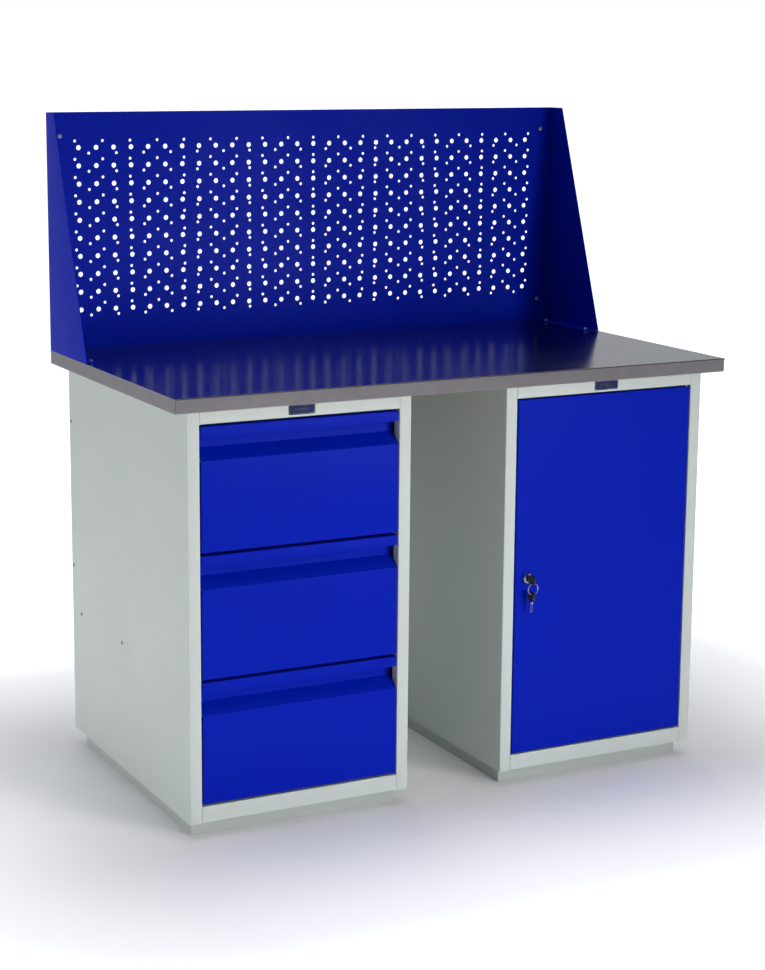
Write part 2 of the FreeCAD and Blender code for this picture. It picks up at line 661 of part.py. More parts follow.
def door_stiffener():
    """A vertical hat section welded behind the door's face."""
    middle = (DOOR_X[0] + DOOR_X[1]) / 2
    skin_y = FRONT_Y + 2 * SHEET
    crown_y = FRONT_Y + DOOR_DEPTH - 2
    crown, foot, end_gap = 30.0, 45.0, 22.0
    path = [(middle - foot, skin_y), (middle - crown, skin_y), (middle - crown, crown_y),
            (middle + crown, crown_y), (middle + crown, skin_y), (middle + foot, skin_y)]
    return bent_sheet(path, "z", (DOOR_Z[0] + end_gap, DOOR_Z[1] - end_gap))


def door_bushes():
    """Nylon bushes that turn on the pivot pins."""
    length, bore = 4.0, HINGE_PIN_R + 0.06
    low = tube(BUSH_R, bore, "z", (DOOR_Z[0], DOOR_Z[0] + length), (HINGE_X, HINGE_Y))
    high = tube(BUSH_R, bore, "z", (DOOR_Z[1] - length, DOOR_Z[1]), (HINGE_X, HINGE_Y))
    return group([low, high])


def lock_body():
    """The fixed barrel of the cam lock with its round face flange."""
    flange = domed_head(LOCK_FLANGE_R, FRONT_Y - LOCK_FACE_Y, "y", FRONT_Y, LOCK, -1)
    barrel = cylinder(LOCK_BODY_R, "y", (FRONT_Y, LOCK_REAR_Y), LOCK)
    bore = cylinder(LOCK_PLUG_R + SCREW_SLACK, "y", (LOCK_FACE_Y, LOCK_REAR_Y), LOCK)
    return union([flange, barrel]).cut(bore)


def lock_nut():
    """The hexagonal nut that clamps the lock from behind the door's face."""
    across_corners, thickness = 13.5, 4.0
    outline = [(LOCK_X + across_corners * math.cos(math.radians(60 * n)),
                LOCK_Z + across_corners * math.sin(math.radians(60 * n))) for n in range(6)]
    y = (FRONT_Y + SHEET, FRONT_Y + SHEET + thickness)
    return prism(outline, "y", y).cut(cylinder(LOCK_BODY_R, "y", y, LOCK))


def lock_plug():
    """The turning core: a slotted cylinder with a square tail for the cam."""
    shoulder_y = LOCK_REAR_Y + 0.5
    core = cylinder(LOCK_PLUG_R, "y", (KEY_FACE_Y, shoulder_y), LOCK)
    half = LOCK_SQUARE_HALF
    tail = box((LOCK_X - half, LOCK_X + half), (shoulder_y, CAM_Y + CAM_T), (LOCK_Z - half, LOCK_Z + half))
    slot_x, slot_z = KEY_T / 2 + 0.2, KEY_W / 2 + 0.3
    slot = box((LOCK_X - slot_x, LOCK_X + slot_x), (KEY_FACE_Y, KEY_FACE_Y + KEY_BLADE_LENGTH + 2),
               (LOCK_Z - slot_z, LOCK_Z + slot_z))
    thread = cylinder(CAM_SCREW_R + SCREW_SLACK, "y", (CAM_Y - 3, CAM_Y + CAM_T), LOCK)
    return union([core, tail]).cut([slot, thread])


def lock_cam():
    """The tongue, hanging clear of the frame while the door is unlocked."""
    x = (LOCK_X - CAM_W / 2, LOCK_X + CAM_W / 2)
    y = (CAM_Y, CAM_Y + CAM_T)
    blade = box(x, y, (LOCK_Z - CAM_LENGTH, LOCK_Z + CAM_W / 2))
    blade = rounded(blade, CAM_W / 2 - 1, "y", [(corner_x, LOCK_Z - CAM_LENGTH) for corner_x in x])
    hole = LOCK_SQUARE_HALF + 0.02
    return blade.cut(box((LOCK_X - hole, LOCK_X + hole), y, (LOCK_Z - hole, LOCK_Z + hole)))


def cam_screw():
    head_r, head_h = 4.8, 2.6
    surface = CAM_Y + CAM_T
    shank = cylinder(CAM_SCREW_R, "y", (surface - 4.5, surface + 0.5), LOCK)
    return union([domed_head(head_r, head_h, "y", surface, LOCK, 1), shank])


def key_blade(centre_z):
    """A flat key blade that points to the rear, with its teeth along the lower edge."""
    shoulder, tooth, depth, teeth = 4.0, 3.0, 1.6, 5
    low = centre_z - KEY_W / 2
    high = centre_z + KEY_W / 2
    start_y = KEY_ROOT_Y - KEY_POCKET
    outline = [(start_y, low), (KEY_ROOT_Y + shoulder, low)]
    for n in range(teeth):
        y = KEY_ROOT_Y + shoulder + n * tooth
        outline += [(y + tooth / 2, low + depth * (1 + n % 2) / 2), (y + tooth, low)]
    tip_y = KEY_ROOT_Y + KEY_BLADE_LENGTH
    outline += [(tip_y, centre_z), (tip_y - 2, high), (start_y, high)]
    return prism(outline, "x", (LOCK_X - KEY_T / 2, LOCK_X + KEY_T / 2))


def key_head(centre_z):
    """A moulded key head with rounded corners and a hole for the ring."""
    x = (LOCK_X - KEY_HEAD_T / 2, LOCK_X + KEY_HEAD_T / 2)
    z = (centre_z - KEY_HEAD_HALF_H, centre_z + KEY_HEAD_HALF_H)
    front_y = KEY_ROOT_Y - KEY_HEAD_LENGTH
    head = box(x, (front_y, KEY_ROOT_Y), z)
    head = rounded(head, 6.0, "x", [(y, end) for y in (front_y, KEY_ROOT_Y) for end in z])
    pocket = box((LOCK_X - KEY_T / 2, LOCK_X + KEY_T / 2), (KEY_ROOT_Y - KEY_POCKET, KEY_ROOT_Y),
                 (centre_z - KEY_W / 2, centre_z + KEY_W / 2))
    return head.cut([cylinder(KEY_HOLE_R, "x", x, KEY_HOLE), pocket])


def key_ring():
    centre = FreeCAD.Vector(LOCK_X, KEY_HOLE[0], RING_Z)
    return Part.makeTorus(RING_R, RING_WIRE_R, centre, direction("y"))


def hung(solid):
    """A key turned from lying in the lock to hanging by its hole from the foot of the ring."""
    hole = FreeCAD.Vector(LOCK_X, *KEY_HOLE)
    turned = solid.copy()
    turned.rotate(hole, direction("x"), -90)
    target_z = SPARE_PIVOT_Z + RING_WIRE_R + HANG_GAP - KEY_HOLE_R
    turned.translate(FreeCAD.Vector(0, 0, target_z - KEY_HOLE[1]))
    return turned


# ---------------------------------------------------------------- the whole bench

def build():
    """Every node of the bench by name."""
    nodes = {
        "worktop_board": worktop_board(),
        "worktop_cover": worktop_cover(),
        "screen_panel": screen_panel(),
        "screen_gusset_left": screen_gusset(),
        "screen_gusset_right": mirrored(screen_gusset(), 0.0),
        "screen_screws": group(panel_screws() + gusset_screws()),
        "worktop_screws": worktop_screws(),
        "side_rivets": side_rivets(),
        "blank_plates": group([blank_plate(DRAWER_X), blank_plate(DOOR_PEDESTAL_X)]),
        "slide_uprights": slide_uprights(),
        "shelf": shelf(),
        "shelf_clips": shelf_clips(),
        "door_hinge_pins": hinge_pins(),
        "door_skin": door_skin(),
        "door_stiffener": door_stiffener(),
        "door_bushes": door_bushes(),
        "lock_body": lock_body(),
        "lock_nut": lock_nut(),
        "lock_plug": lock_plug(),
        "lock_cam": lock_cam(),
        "cam_screw": cam_screw(),
        "key_blade": key_blade(LOCK_Z),
        "key_head": key_head(LOCK_Z),
        "key_ring": key_ring(),
        "spare_key_blade": hung(key_blade(KEY_HOLE[1])),
        "spare_key_head": hung(key_head(KEY_HOLE[1])),
    }
    rivets = {"drawer_pedestal": RIVET_PLACES, "door_pedestal": []}
    for name, centre_x in (("drawer_pedestal", DRAWER_X), ("door_pedestal", DOOR_PEDESTAL_X)):
        places = rivets[name]
        rear_rivets = [place for place in places if place[0] > REAR_Y - REAR_FLANGE]
        side = pedestal_side(centre_x, places)
        nodes[name + "_side_left"] = side
        nodes[name + "_side_right"] = mirrored(side, centre_x)
        nodes[name + "_stiles"] = pedestal_stiles(centre_x, name == "door_pedestal")
        nodes[name + "_back"] = pedestal_back(centre_x, rear_rivets)
        nodes[name + "_floor"] = pedestal_floor(centre_x)
        nodes[name + "_top_rail"] = pedestal_top_rail(centre_x)
        nodes[name + "_top_plate"] = pedestal_top_plate(centre_x)
        nodes[name + "_plinth"] = pedestal_plinth(centre_x)
    for index in range(DRAWER_COUNT):
        name = "drawer_%d" % (index + 1)
        nodes[name + "_front"] = drawer_front(index)
        nodes[name + "_box"] = drawer_box(index)
        nodes[name + "_slide_outer"] = slide_outer(index)
        nodes[name + "_slide_middle"] = slide_middle(index)
        nodes[name + "_slide_inner"] = slide_inner(index)
        nodes[name + "_ball_cages"] = ball_cages(index)
    return nodes


os.makedirs("parts", exist_ok=True)
for node_name, node_shape in build().items():
    node_shape.exportStep("parts/%s.step" % node_name)
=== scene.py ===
"""Looks for a steel workbench: finishes for every CAD node, and finer pieces for its folded sheet,
fasteners, lock and keys.

Everything is in metres in the CAD frame: +X to the user's right, +Y to the rear, +Z up, with the origin
on the floor under the middle of the worktop.
"""

import json
import logging
import math
from dataclasses import dataclass
from enum import Enum
from typing import Optional, Sequence

import bmesh
import bpy
import numpy as np
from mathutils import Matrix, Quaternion, Vector

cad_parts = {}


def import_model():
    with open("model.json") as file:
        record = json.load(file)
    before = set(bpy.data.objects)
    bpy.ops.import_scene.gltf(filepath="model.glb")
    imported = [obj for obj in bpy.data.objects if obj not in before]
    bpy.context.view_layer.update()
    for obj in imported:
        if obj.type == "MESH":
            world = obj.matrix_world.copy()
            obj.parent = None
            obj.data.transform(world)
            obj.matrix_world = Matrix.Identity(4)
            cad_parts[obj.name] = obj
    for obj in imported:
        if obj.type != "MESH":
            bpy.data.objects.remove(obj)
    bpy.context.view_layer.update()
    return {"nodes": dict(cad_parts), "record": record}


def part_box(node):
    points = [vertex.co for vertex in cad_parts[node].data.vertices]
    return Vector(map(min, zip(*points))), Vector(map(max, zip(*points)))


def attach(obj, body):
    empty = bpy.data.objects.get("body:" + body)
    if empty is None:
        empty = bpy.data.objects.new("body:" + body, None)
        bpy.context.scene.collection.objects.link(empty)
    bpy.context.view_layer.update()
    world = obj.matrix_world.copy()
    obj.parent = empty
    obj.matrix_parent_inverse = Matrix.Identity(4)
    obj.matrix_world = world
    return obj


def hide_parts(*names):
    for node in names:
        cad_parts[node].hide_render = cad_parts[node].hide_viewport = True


LOG = logging.getLogger("workbench")
MM = 0.001
Colour = tuple[float, float, float]
Socket, Tree = bpy.types.NodeSocket, bpy.types.NodeTree
Inputs, Outputs = bpy.types.NodeInputs, bpy.types.NodeOutputs
Material, Object = bpy.types.Material, bpy.types.Object
WHITE = (1.0, 1.0, 1.0, 1.0)


# ------------------------------------------------------------------ surfaces

def polar(radius: np.ndarray, angle: np.ndarray) -> tuple[np.ndarray, np.ndarray]:
    """Plane coordinates of points given by radius and angle: (r cos a, r sin a)."""
    return radius * np.cos(angle), radius * np.sin(angle)


def turns(count: int) -> np.ndarray:
    """Angles of count points spaced evenly round a full turn, the last one short of it."""
    return np.arange(count) * 2.0 * math.pi / count


def lattice_faces(rows: int, columns: int, wrap_rows: bool, wrap_columns: bool) -> np.ndarray:
    """Quads of a grid of points numbered row by row.

    Cell (i, j) joins points (i, j), (i, j+1), (i+1, j+1) and (i+1, j), with indices taken modulo the grid's
    size where it wraps.

    Args:
        rows: Number of rows of points.
        columns: Number of points in each row.
        wrap_rows: The last row joins the first.
        wrap_columns: The last column joins the first.

    Returns:
        An array of shape (cells, 4).
    """
    i, j = np.meshgrid(np.arange(rows if wrap_rows else rows - 1),
                       np.arange(columns if wrap_columns else columns - 1), indexing="ij")
    i, j = i.ravel(), j.ravel()
    down, right = (i + 1) % rows, (j + 1) % columns
    near, far = i * columns, down * columns
    return np.stack([near + j, near + right, far + right, far + j], axis=1)


@dataclass
class Patch:
    """Points and faces of one surface before it becomes part of a mesh."""

    points: np.ndarray
    faces: list[list[int]]

    @staticmethod
    def grid(points: np.ndarray, wrap_rows: bool = False, wrap_columns: bool = True,
             caps: bool = True) -> "Patch":
        """A surface through a grid of points.

        Args:
            points: Array of shape (rows, columns, 3).
            wrap_rows: Join the last row to the first.
            wrap_columns: Join the last column to the first.
            caps: Close the first and last rows with one face each.

        Returns:
            The patch.
        """
        rows, columns = points.shape[:2]
        faces = lattice_faces(rows, columns, wrap_rows, wrap_columns).tolist()
        if caps and not wrap_rows:
            faces.append(list(range(columns))[::-1])
            faces.append(list(range((rows - 1) * columns, rows * columns)))
        return Patch(points.reshape(-1, 3), faces)


def bent_line(corners: Sequence[tuple[float, float]], radius: float, steps: int = 6) -> np.ndarray:
    """A line of straight runs whose inner corners become arcs of one radius.

    At a corner with turn t, the arc starts radius * tan(t / 2) before it and its centre lies on the inner
    side, one radius from both runs.

    Args:
        corners: The (u, v) corners, ends included.
        radius: Radius of the line's arcs.
        steps: Segments in each arc.

    Returns:
        Array of shape (points, 2).
    """
    line = np.array(corners, float)
    runs = np.diff(line, axis=0)
    runs /= np.linalg.norm(runs, axis=1, keepdims=True)
    parts = [line[:1]]
    for corner, before, after in zip(line[1:-1], runs[:-1], runs[1:]):
        turn = math.atan2(before[0] * after[1] - before[1] * after[0], float(before @ after))
        side = math.copysign(1.0, turn)
        start = corner - before * radius * math.tan(abs(turn) / 2)
        centre = start + side * radius * np.array([-before[1], before[0]])
        angle = np.linspace(0.0, turn, steps + 1)
        first = start - centre
        cos, sin = np.cos(angle), np.sin(angle)
        u, v = first[0] * cos - first[1] * sin, first[0] * sin + first[1] * cos
        parts.append(centre + np.stack([u, v], axis=1))
    parts.append(line[-1:])
    return np.concatenate(parts)


def strip_outline(line: np.ndarray, thickness: float) -> np.ndarray:
    """The closed outline of a sheet seen on its edge.

    Each point moves half the thickness along the line's normal, to one side and then, in reverse order, to
    the other. The normal is the mean of those of the two runs that meet there, lengthened by the cosine of
    half their turn so that the sheet keeps its thickness.

    Args:
        line: The sheet's middle line, of shape (points, 2).
        thickness: The sheet's thickness.

    Returns:
        Array of shape (2 * points, 2).
    """
    runs = np.diff(line, axis=0)
    runs /= np.linalg.norm(runs, axis=1, keepdims=True)
    before = np.vstack([runs[:1], runs])
    after = np.vstack([runs, runs[-1:]])
    mean = before + after
    mean /= np.linalg.norm(mean, axis=1, keepdims=True)
    stretch = 1.0 / np.einsum("ij,ij->i", mean, before)
    normal = np.stack([-mean[:, 1], mean[:, 0]], axis=1) * stretch[:, None]
    return np.vstack([line + normal * thickness / 2, (line - normal * thickness / 2)[::-1]])


def rounded_rectangle(half_u: float, half_v: float, radius: float, corner_steps: int = 6) -> np.ndarray:
    """A closed rectangle about the origin with quarter-circle corners, of shape (points, 2)."""
    radius = min(radius, half_u, half_v)
    quarter = np.linspace(0.0, math.pi / 2, corner_steps + 1)
    angle = np.concatenate([quarter + n * math.pi / 2 for n in range(4)])
    sign_u = np.repeat([1.0, -1.0, -1.0, 1.0], corner_steps + 1)
    sign_v = np.repeat([1.0, 1.0, -1.0, -1.0], corner_steps + 1)
    u = sign_u * (half_u - radius) + radius * np.cos(angle)
    v = sign_v * (half_v - radius) + radius * np.sin(angle)
    return np.stack([u, v], axis=1)


def rectangle_between(u: Sequence[float], v: Sequence[float], radius: float,
                      corner_steps: int = 6) -> np.ndarray:
    """A closed rounded rectangle between two values of u and two of v, each pair in rising order."""
    outline = rounded_rectangle((u[1] - u[0]) / 2, (v[1] - v[0]) / 2, radius, corner_steps)
    return outline + [(u[0] + u[1]) / 2, (v[0] + v[1]) / 2]


class Axis(Enum):
    """The axis that a profile is carried along or turned about."""

    X = 0
    Y = 1
    Z = 2

    def place(self, u: np.ndarray, v: np.ndarray, along: np.ndarray) -> np.ndarray:
        """Points with in-plane coordinates u, v (in X, Y, Z order) and the coordinate along the axis."""
        parts = [u, v]
        parts.insert(self.value, along)
        return np.stack(np.broadcast_arrays(*parts), axis=-1)


def swept(outline: np.ndarray, axis: Axis, low: float, high: float) -> Patch:
    """A closed outline carried straight along an axis and closed at both ends."""
    along = np.array([[low], [high]])
    return Patch.grid(axis.place(outline[None, :, 0], outline[None, :, 1], along))


def lathe(profile: Sequence[tuple[float, float]], axis: Axis, centre: tuple[float, float], count: int = 48,
          wrap: bool = False) -> Patch:
    """A profile of (radius, place along the axis) turned about an axis through centre.

    Args:
        profile: The profile's points.
        axis: The axis of the turning.
        centre: In-plane coordinates of the axis, in X, Y, Z order.
        count: Points round the turn.
        wrap: The profile is closed, as in a bushing.

    Returns:
        The patch.
    """
    line = np.array(profile, float)
    u, v = polar(line[:, :1], turns(count)[None, :])
    return Patch.grid(axis.place(centre[0] + u, centre[1] + v, line[:, 1:2]), wrap_rows=wrap)


def tray(rings: Sequence[tuple[float, float]], half: tuple[float, float], corner: float,
         centre: tuple[float, float], axis: Axis) -> Patch:
    """Nested rounded rectangles, each inset from the outermost and at its own place along an axis.

    Args:
        rings: (inset, place along the axis) of each ring, in order over the surface.
        half: Half sizes of the outermost rectangle.
        corner: Corner radius of the outermost rectangle; an inset ring keeps at least a twentieth of it.
        centre: In-plane centre, in X, Y, Z order.
        axis: The axis across the rectangles.

    Returns:
        The patch, closed over its first and last rings.
    """
    rows = []
    for inset, along in rings:
        ring = rounded_rectangle(half[0] - inset, half[1] - inset, max(corner - inset, corner / 20))
        rows.append(axis.place(centre[0] + ring[:, 0], centre[1] + ring[:, 1], np.array(along)))
    return Patch.grid(np.stack(rows))


@dataclass
class Piece:
    """One visible mesh: its patches, how its edges are finished, and what it rides on and stands for."""

    name: str
    body: str
    slot: str
    nodes: tuple[str, ...] = ()
    edge: float = 0.0
    sharp: float = 32.0

    def make(self, patches: Sequence[Patch], finishes: "Finishes") -> Object:
        """Joins the patches in one object, rounds its cut edges and hands it to the frame.

        Args:
            patches: Closed surfaces in the CAD frame, in metres.
            finishes: Where its slot's material comes from.

        Returns:
            The new object.
        """
        points = np.concatenate([patch.points for patch in patches])
        faces: list[list[int]] = []
        offset = 0
        for patch in patches:
            faces += [[offset + corner for corner in face] for face in patch.faces]
            offset += len(patch.points)
        mesh = bpy.data.meshes.new(self.name)
        mesh.from_pydata(points, [], faces)
        self._tidy(mesh)
        mesh.materials.append(finishes.get(self.slot))
        piece = bpy.data.objects.new(self.name, mesh)
        bpy.context.scene.collection.objects.link(piece)
        if self.edge:
            self._round_edges(piece)
        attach(piece, self.body)
        if self.nodes:
            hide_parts(*self.nodes)
        LOG.info("%s: %d faces on %s", self.name, len(mesh.polygons), self.body)
        return piece

    def _tidy(self, mesh: bpy.types.Mesh) -> None:
        """Merges doubled points, turns the faces outwards and shades them smooth up to the sharp angle."""
        work = bmesh.new()
        work.from_mesh(mesh)
        bmesh.ops.remove_doubles(work, verts=work.verts, dist=1e-7)
        bmesh.ops.recalc_face_normals(work, faces=work.faces)
        work.to_mesh(mesh)
        work.free()
        mesh.polygons.foreach_set("use_smooth", np.ones(len(mesh.polygons), bool))
        mesh.set_sharp_from_angle(angle=math.radians(self.sharp))

    def _round_edges(self, piece: Object) -> None:
        """A narrow round along every cut edge."""
        bevel = piece.modifiers.new("cut_edges", "BEVEL")
        bevel.width = self.edge
        bevel.segments = 2
        bevel.limit_method = "ANGLE"
        bevel.angle_limit = math.radians(self.sharp)
        bevel.harden_normals = True


# ------------------------------------------------------------------ shader groups

class Graph:
    """A node tree while it is wired."""

    def __init__(self, tree: Tree) -> None:
        """Keeps the tree."""
        self.tree = tree

    def add(self, kind: str, inputs: Optional[dict] = None, **settings: object) -> bpy.types.Node:
        """Adds a node.

        Args:
            kind: The node's type.
            inputs: Values or output sockets for its inputs, by name or index.
            settings: Properties of the node.

        Returns:
            The node.
        """
        node = self.tree.nodes.new(kind)
        for key, value in settings.items():
            setattr(node, key, value)
        for key, value in (inputs or {}).items():
            self.feed(node.inputs[key], value)
        return node

    def feed(self, socket: Socket, value: object) -> None:
        """Links an output to a socket, or sets the socket to a plain value."""
        if isinstance(value, Socket):
            self.tree.links.new(value, socket)
        else:
            socket.default_value = value

    def noise(self, vector: Socket, scale: object, **inputs: float) -> Outputs:
        """The results of a Noise Texture on a vector, with its further inputs by name."""
        return self.add("ShaderNodeTexNoise", {"Vector": vector, "Scale": scale, **inputs}).outputs

    def vector(self, operation: str, *values: object) -> Outputs:
        """The results of a Vector Math node on up to three values or sockets."""
        return self.add("ShaderNodeVectorMath", dict(enumerate(values)), operation=operation).outputs

    def math(self, operation: str, *values: object) -> Socket:
        """The result of a Math node on up to three values or sockets."""
        return self.add("ShaderNodeMath", dict(enumerate(values)), operation=operation).outputs[0]

    def mix(self, factor: object, first: object, second: object) -> Socket:
        """A colour between two colours."""
        node = self.add("ShaderNodeMix", {0: factor, 6: first, 7: second}, data_type="RGBA")
        return node.outputs[2]

    def span(self, value: object, low: float, high: float, to_low: float, to_high: float) -> Socket:
        """A value carried smoothly from one range to another."""
        node = self.add("ShaderNodeMapRange", {0: value, 1: low, 2: high, 3: to_low, 4: to_high},
                        interpolation_type="SMOOTHSTEP")
        return node.outputs[0]


def new_group(name: str, inputs: Sequence[tuple[str, float]],
              outputs: Sequence[str]) -> tuple[Graph, Outputs, Inputs]:
    """An empty group with its sockets, the first of them a Vector.

    Args:
        name: The group's name.
        inputs: Name and default of each number input.
        outputs: Names of its number outputs.

    Returns:
        The graph, what it is given and where its results go, both by socket name.
    """
    tree = bpy.data.node_groups.new(name, "ShaderNodeTree")
    tree.interface.new_socket("Vector", in_out="INPUT", socket_type="NodeSocketVector")
    for label, default in inputs:
        socket = tree.interface.new_socket(label, in_out="INPUT", socket_type="NodeSocketFloat")
        socket.default_value = default
    for label in outputs:
        tree.interface.new_socket(label, in_out="OUTPUT", socket_type="NodeSocketFloat")
    graph = Graph(tree)
    return graph, graph.add("NodeGroupInput").outputs, graph.add("NodeGroupOutput").inputs


def build_orange_peel(name: str) -> Tree:
    """The soft pebbling of sprayed powder: one fine and one coarser noise added together."""
    graph, given, out = new_group(name, [("Scale", 420.0)], ["Height"])
    fine = graph.noise(given["Vector"], given["Scale"], Detail=2.0, Roughness=0.45)
    coarse = graph.noise(given["Vector"], graph.math("MULTIPLY", given["Scale"], 0.21), Detail=1.0)
    graph.feed(out["Height"], graph.math("MULTIPLY_ADD", coarse[0], 0.6, fine[0]))
    return graph.tree


def build_handling(name: str) -> Tree:
    """Broad uneven patches with faint finger smears inside them."""
    graph, given, out = new_group(name, [("Scale", 5.0)], ["Value", "Smear"])
    patches = graph.noise(given["Vector"], given["Scale"], Detail=4.0, Roughness=0.55, Distortion=0.4)
    smears = graph.noise(given["Vector"], graph.math("MULTIPLY", given["Scale"], 6.0), Detail=5.0,
                         Roughness=0.65, Distortion=1.2)
    graph.feed(out["Value"], graph.span(patches[0], 0.3, 0.7, 0.0, 1.0))
    graph.feed(out["Smear"], graph.span(smears[0], 0.5, 0.75, 0.0, 1.0))
    return graph.tree


# Edge mask, used both for rubbed edges and for painted edge highlights.
def build_edge_wear_and_highlight(name: str) -> Tree:
    """Where the surface turns within a given radius: one minus the cosine between its normal and the
    normal of the same surface with its edges rounded, broken up by noise."""
    graph, given, out = new_group(name, [("Radius", 0.002), ("Breakup", 60.0)], ["Mask", "Edge"])
    soft = graph.add("ShaderNodeBevel", {"Radius": given["Radius"]}, samples=4)
    true = graph.add("ShaderNodeNewGeometry")
    dot = graph.vector("DOT_PRODUCT", soft.outputs[0], true.outputs["Normal"])
    edge = graph.span(graph.math("SUBTRACT", 1.0, dot["Value"]), 0.01, 0.16, 0.0, 1.0)
    noise = graph.noise(given["Vector"], given["Breakup"], Detail=4.0, Roughness=0.7)
    mask = graph.math("MULTIPLY", edge, graph.span(noise[0], 0.42, 0.68, 0.15, 1.0))
    graph.feed(out["Mask"], mask)
    graph.feed(out["Edge"], edge)
    return graph.tree


def build_drawn_grain(name: str) -> Tree:
    """Fine parallel lines left by rolling or brushing: noise on coordinates that each caller stretches along
    one axis with a Mapping node.
    """
    graph, given, out = new_group(name, [("Scale", 900.0)], ["Value"])
    lines = graph.noise(given["Vector"], given["Scale"], Detail=3.0, Roughness=0.6)
    graph.feed(out["Value"], lines[0])
    return graph.tree


def build_spangle(name: str) -> Tree:
    """Zinc crystals: cells that each take their own tone, with thin raised borders between them."""
    graph, given, out = new_group(name, [("Scale", 70.0)], ["Tone", "Border"])
    warp = graph.noise(given["Vector"], 90.0, Detail=2.0)
    bend = graph.add("ShaderNodeVectorMath", {0: warp["Color"], "Scale": 0.006}, operation="SCALE")
    warped = graph.vector("ADD", given["Vector"], bend.outputs[0])[0]
    place = {"Vector": warped, "Scale": given["Scale"]}
    cells = graph.add("ShaderNodeTexVoronoi", place)
    edges = graph.add("ShaderNodeTexVoronoi", place, feature="DISTANCE_TO_EDGE")
    tone = graph.add("ShaderNodeSeparateColor", {0: cells.outputs["Color"]})
    graph.feed(out["Tone"], tone.outputs[0])
    graph.feed(out["Border"], graph.span(edges.outputs[0], 0.0, 0.08, 1.0, 0.0))
    return graph.tree


class Effect(Enum):
    """Shader node groups that several finishes share, each with its label and what builds it."""

    ORANGE_PEEL = ("Orange peel", build_orange_peel)
    HANDLING = ("Handling", build_handling)
    EDGE_WEAR_AND_HIGHLIGHT = ("Edge wear and highlight", build_edge_wear_and_highlight)
    DRAWN_GRAIN = ("Drawn grain", build_drawn_grain)
    SPANGLE = ("Spangle", build_spangle)

    def tree(self) -> Tree:
        """The group's tree, built the first time it is asked for."""
        label, build = self.value
        return bpy.data.node_groups.get(label) or build(label)


# ------------------------------------------------------------------ finishes

class MaterialGraph(Graph):
    """A material's tree with its shader and object coordinates ready."""

    def __init__(self, name: str) -> None:
        """Makes the material and finds its shader."""
        self.material = bpy.data.materials.new(name)
        self.material.use_nodes = True
        super().__init__(self.material.node_tree)
        self.shader = next(node for node in self.tree.nodes if node.type == "BSDF_PRINCIPLED")
        self.place = self.add("ShaderNodeTexCoord").outputs["Object"]

    def effect(self, effect: Effect, vector: Optional[Socket] = None, **inputs: object) -> Outputs:
        """The results of a shared effect on the object's coordinates or on the vector given."""
        node = self.add("ShaderNodeGroup", node_tree=effect.tree())
        self.feed(node.inputs["Vector"], vector or self.place)
        for key, value in inputs.items():
            self.feed(node.inputs[key.capitalize()], value)
        return node.outputs

    def stretched(self, x: float, y: float, z: float) -> Socket:
        """The object's coordinates scaled on each axis."""
        return self.add("ShaderNodeMapping", {"Vector": self.place, "Scale": (x, y, z)}).outputs[0]

    def shade(self, **values: object) -> None:
        """Sets or links the shader's sockets; underscores in a name stand for spaces."""
        for key, value in values.items():
            self.feed(self.shader.inputs[key.replace("_", " ")], value)

    def bump(self, height: Socket, depth: float) -> None:
        """Raises the surface by a height of the given depth in metres."""
        node = self.add("ShaderNodeBump", {"Height": height, "Distance": depth, "Strength": 1.0})
        self.shade(Normal=node.outputs[0])


def opaque(colour: Colour, gain: float = 1.0) -> tuple[float, float, float, float]:
    """A colour with its alpha, made lighter or darker by gain."""
    return (colour[0] * gain, colour[1] * gain, colour[2] * gain, 1.0)


@dataclass(frozen=True)
class PowderCoat:
    """Baked powder paint: slight orange peel, uneven sheen, and lighter edges, partly thinner paint and partly
    a painted highlight.
    """

    name: str
    colour: Colour
    wear_and_highlight_colour: Colour
    roughness: tuple[float, float] = (0.34, 0.44)
    peel: float = 0.00004
    variation: float = 0.06
    # Share of the edge mask that turns the colour to the edge colour: partly rubbed-thin paint, partly a
    # painted highlight.
    wear: float = 0.35
    specular: float = 0.35
    patch_scale: float = 3.2
    smear: float = 0.015
    wear_radius: float = 0.0016
    wear_breakup: float = 60.0
    peel_scale: float = 420.0

    def make(self) -> Material:
        """Builds the material."""
        graph = MaterialGraph(self.name)
        handling = graph.effect(Effect.HANDLING, scale=self.patch_scale)
        wear = graph.effect(Effect.EDGE_WEAR_AND_HIGHLIGHT, radius=self.wear_radius, breakup=self.wear_breakup)
        paint = graph.mix(handling["Value"], opaque(self.colour, 1 - self.variation),
                          opaque(self.colour, 1 + self.variation))
        # Lighter edges: partly thinner paint, partly a painted highlight.
        wear_and_highlight_amount = graph.math("MULTIPLY", wear["Mask"], self.wear)
        rough = graph.span(handling["Value"], 0.0, 1.0, self.roughness[1], self.roughness[0])
        rough = graph.math("MULTIPLY_ADD", handling["Smear"], self.smear, rough)
        graph.shade(Base_Color=graph.mix(wear_and_highlight_amount, paint, opaque(self.wear_and_highlight_colour)), Roughness=rough,
                    Specular_IOR_Level=self.specular)
        graph.bump(graph.effect(Effect.ORANGE_PEEL, scale=self.peel_scale)["Height"], self.peel)
        return graph.material


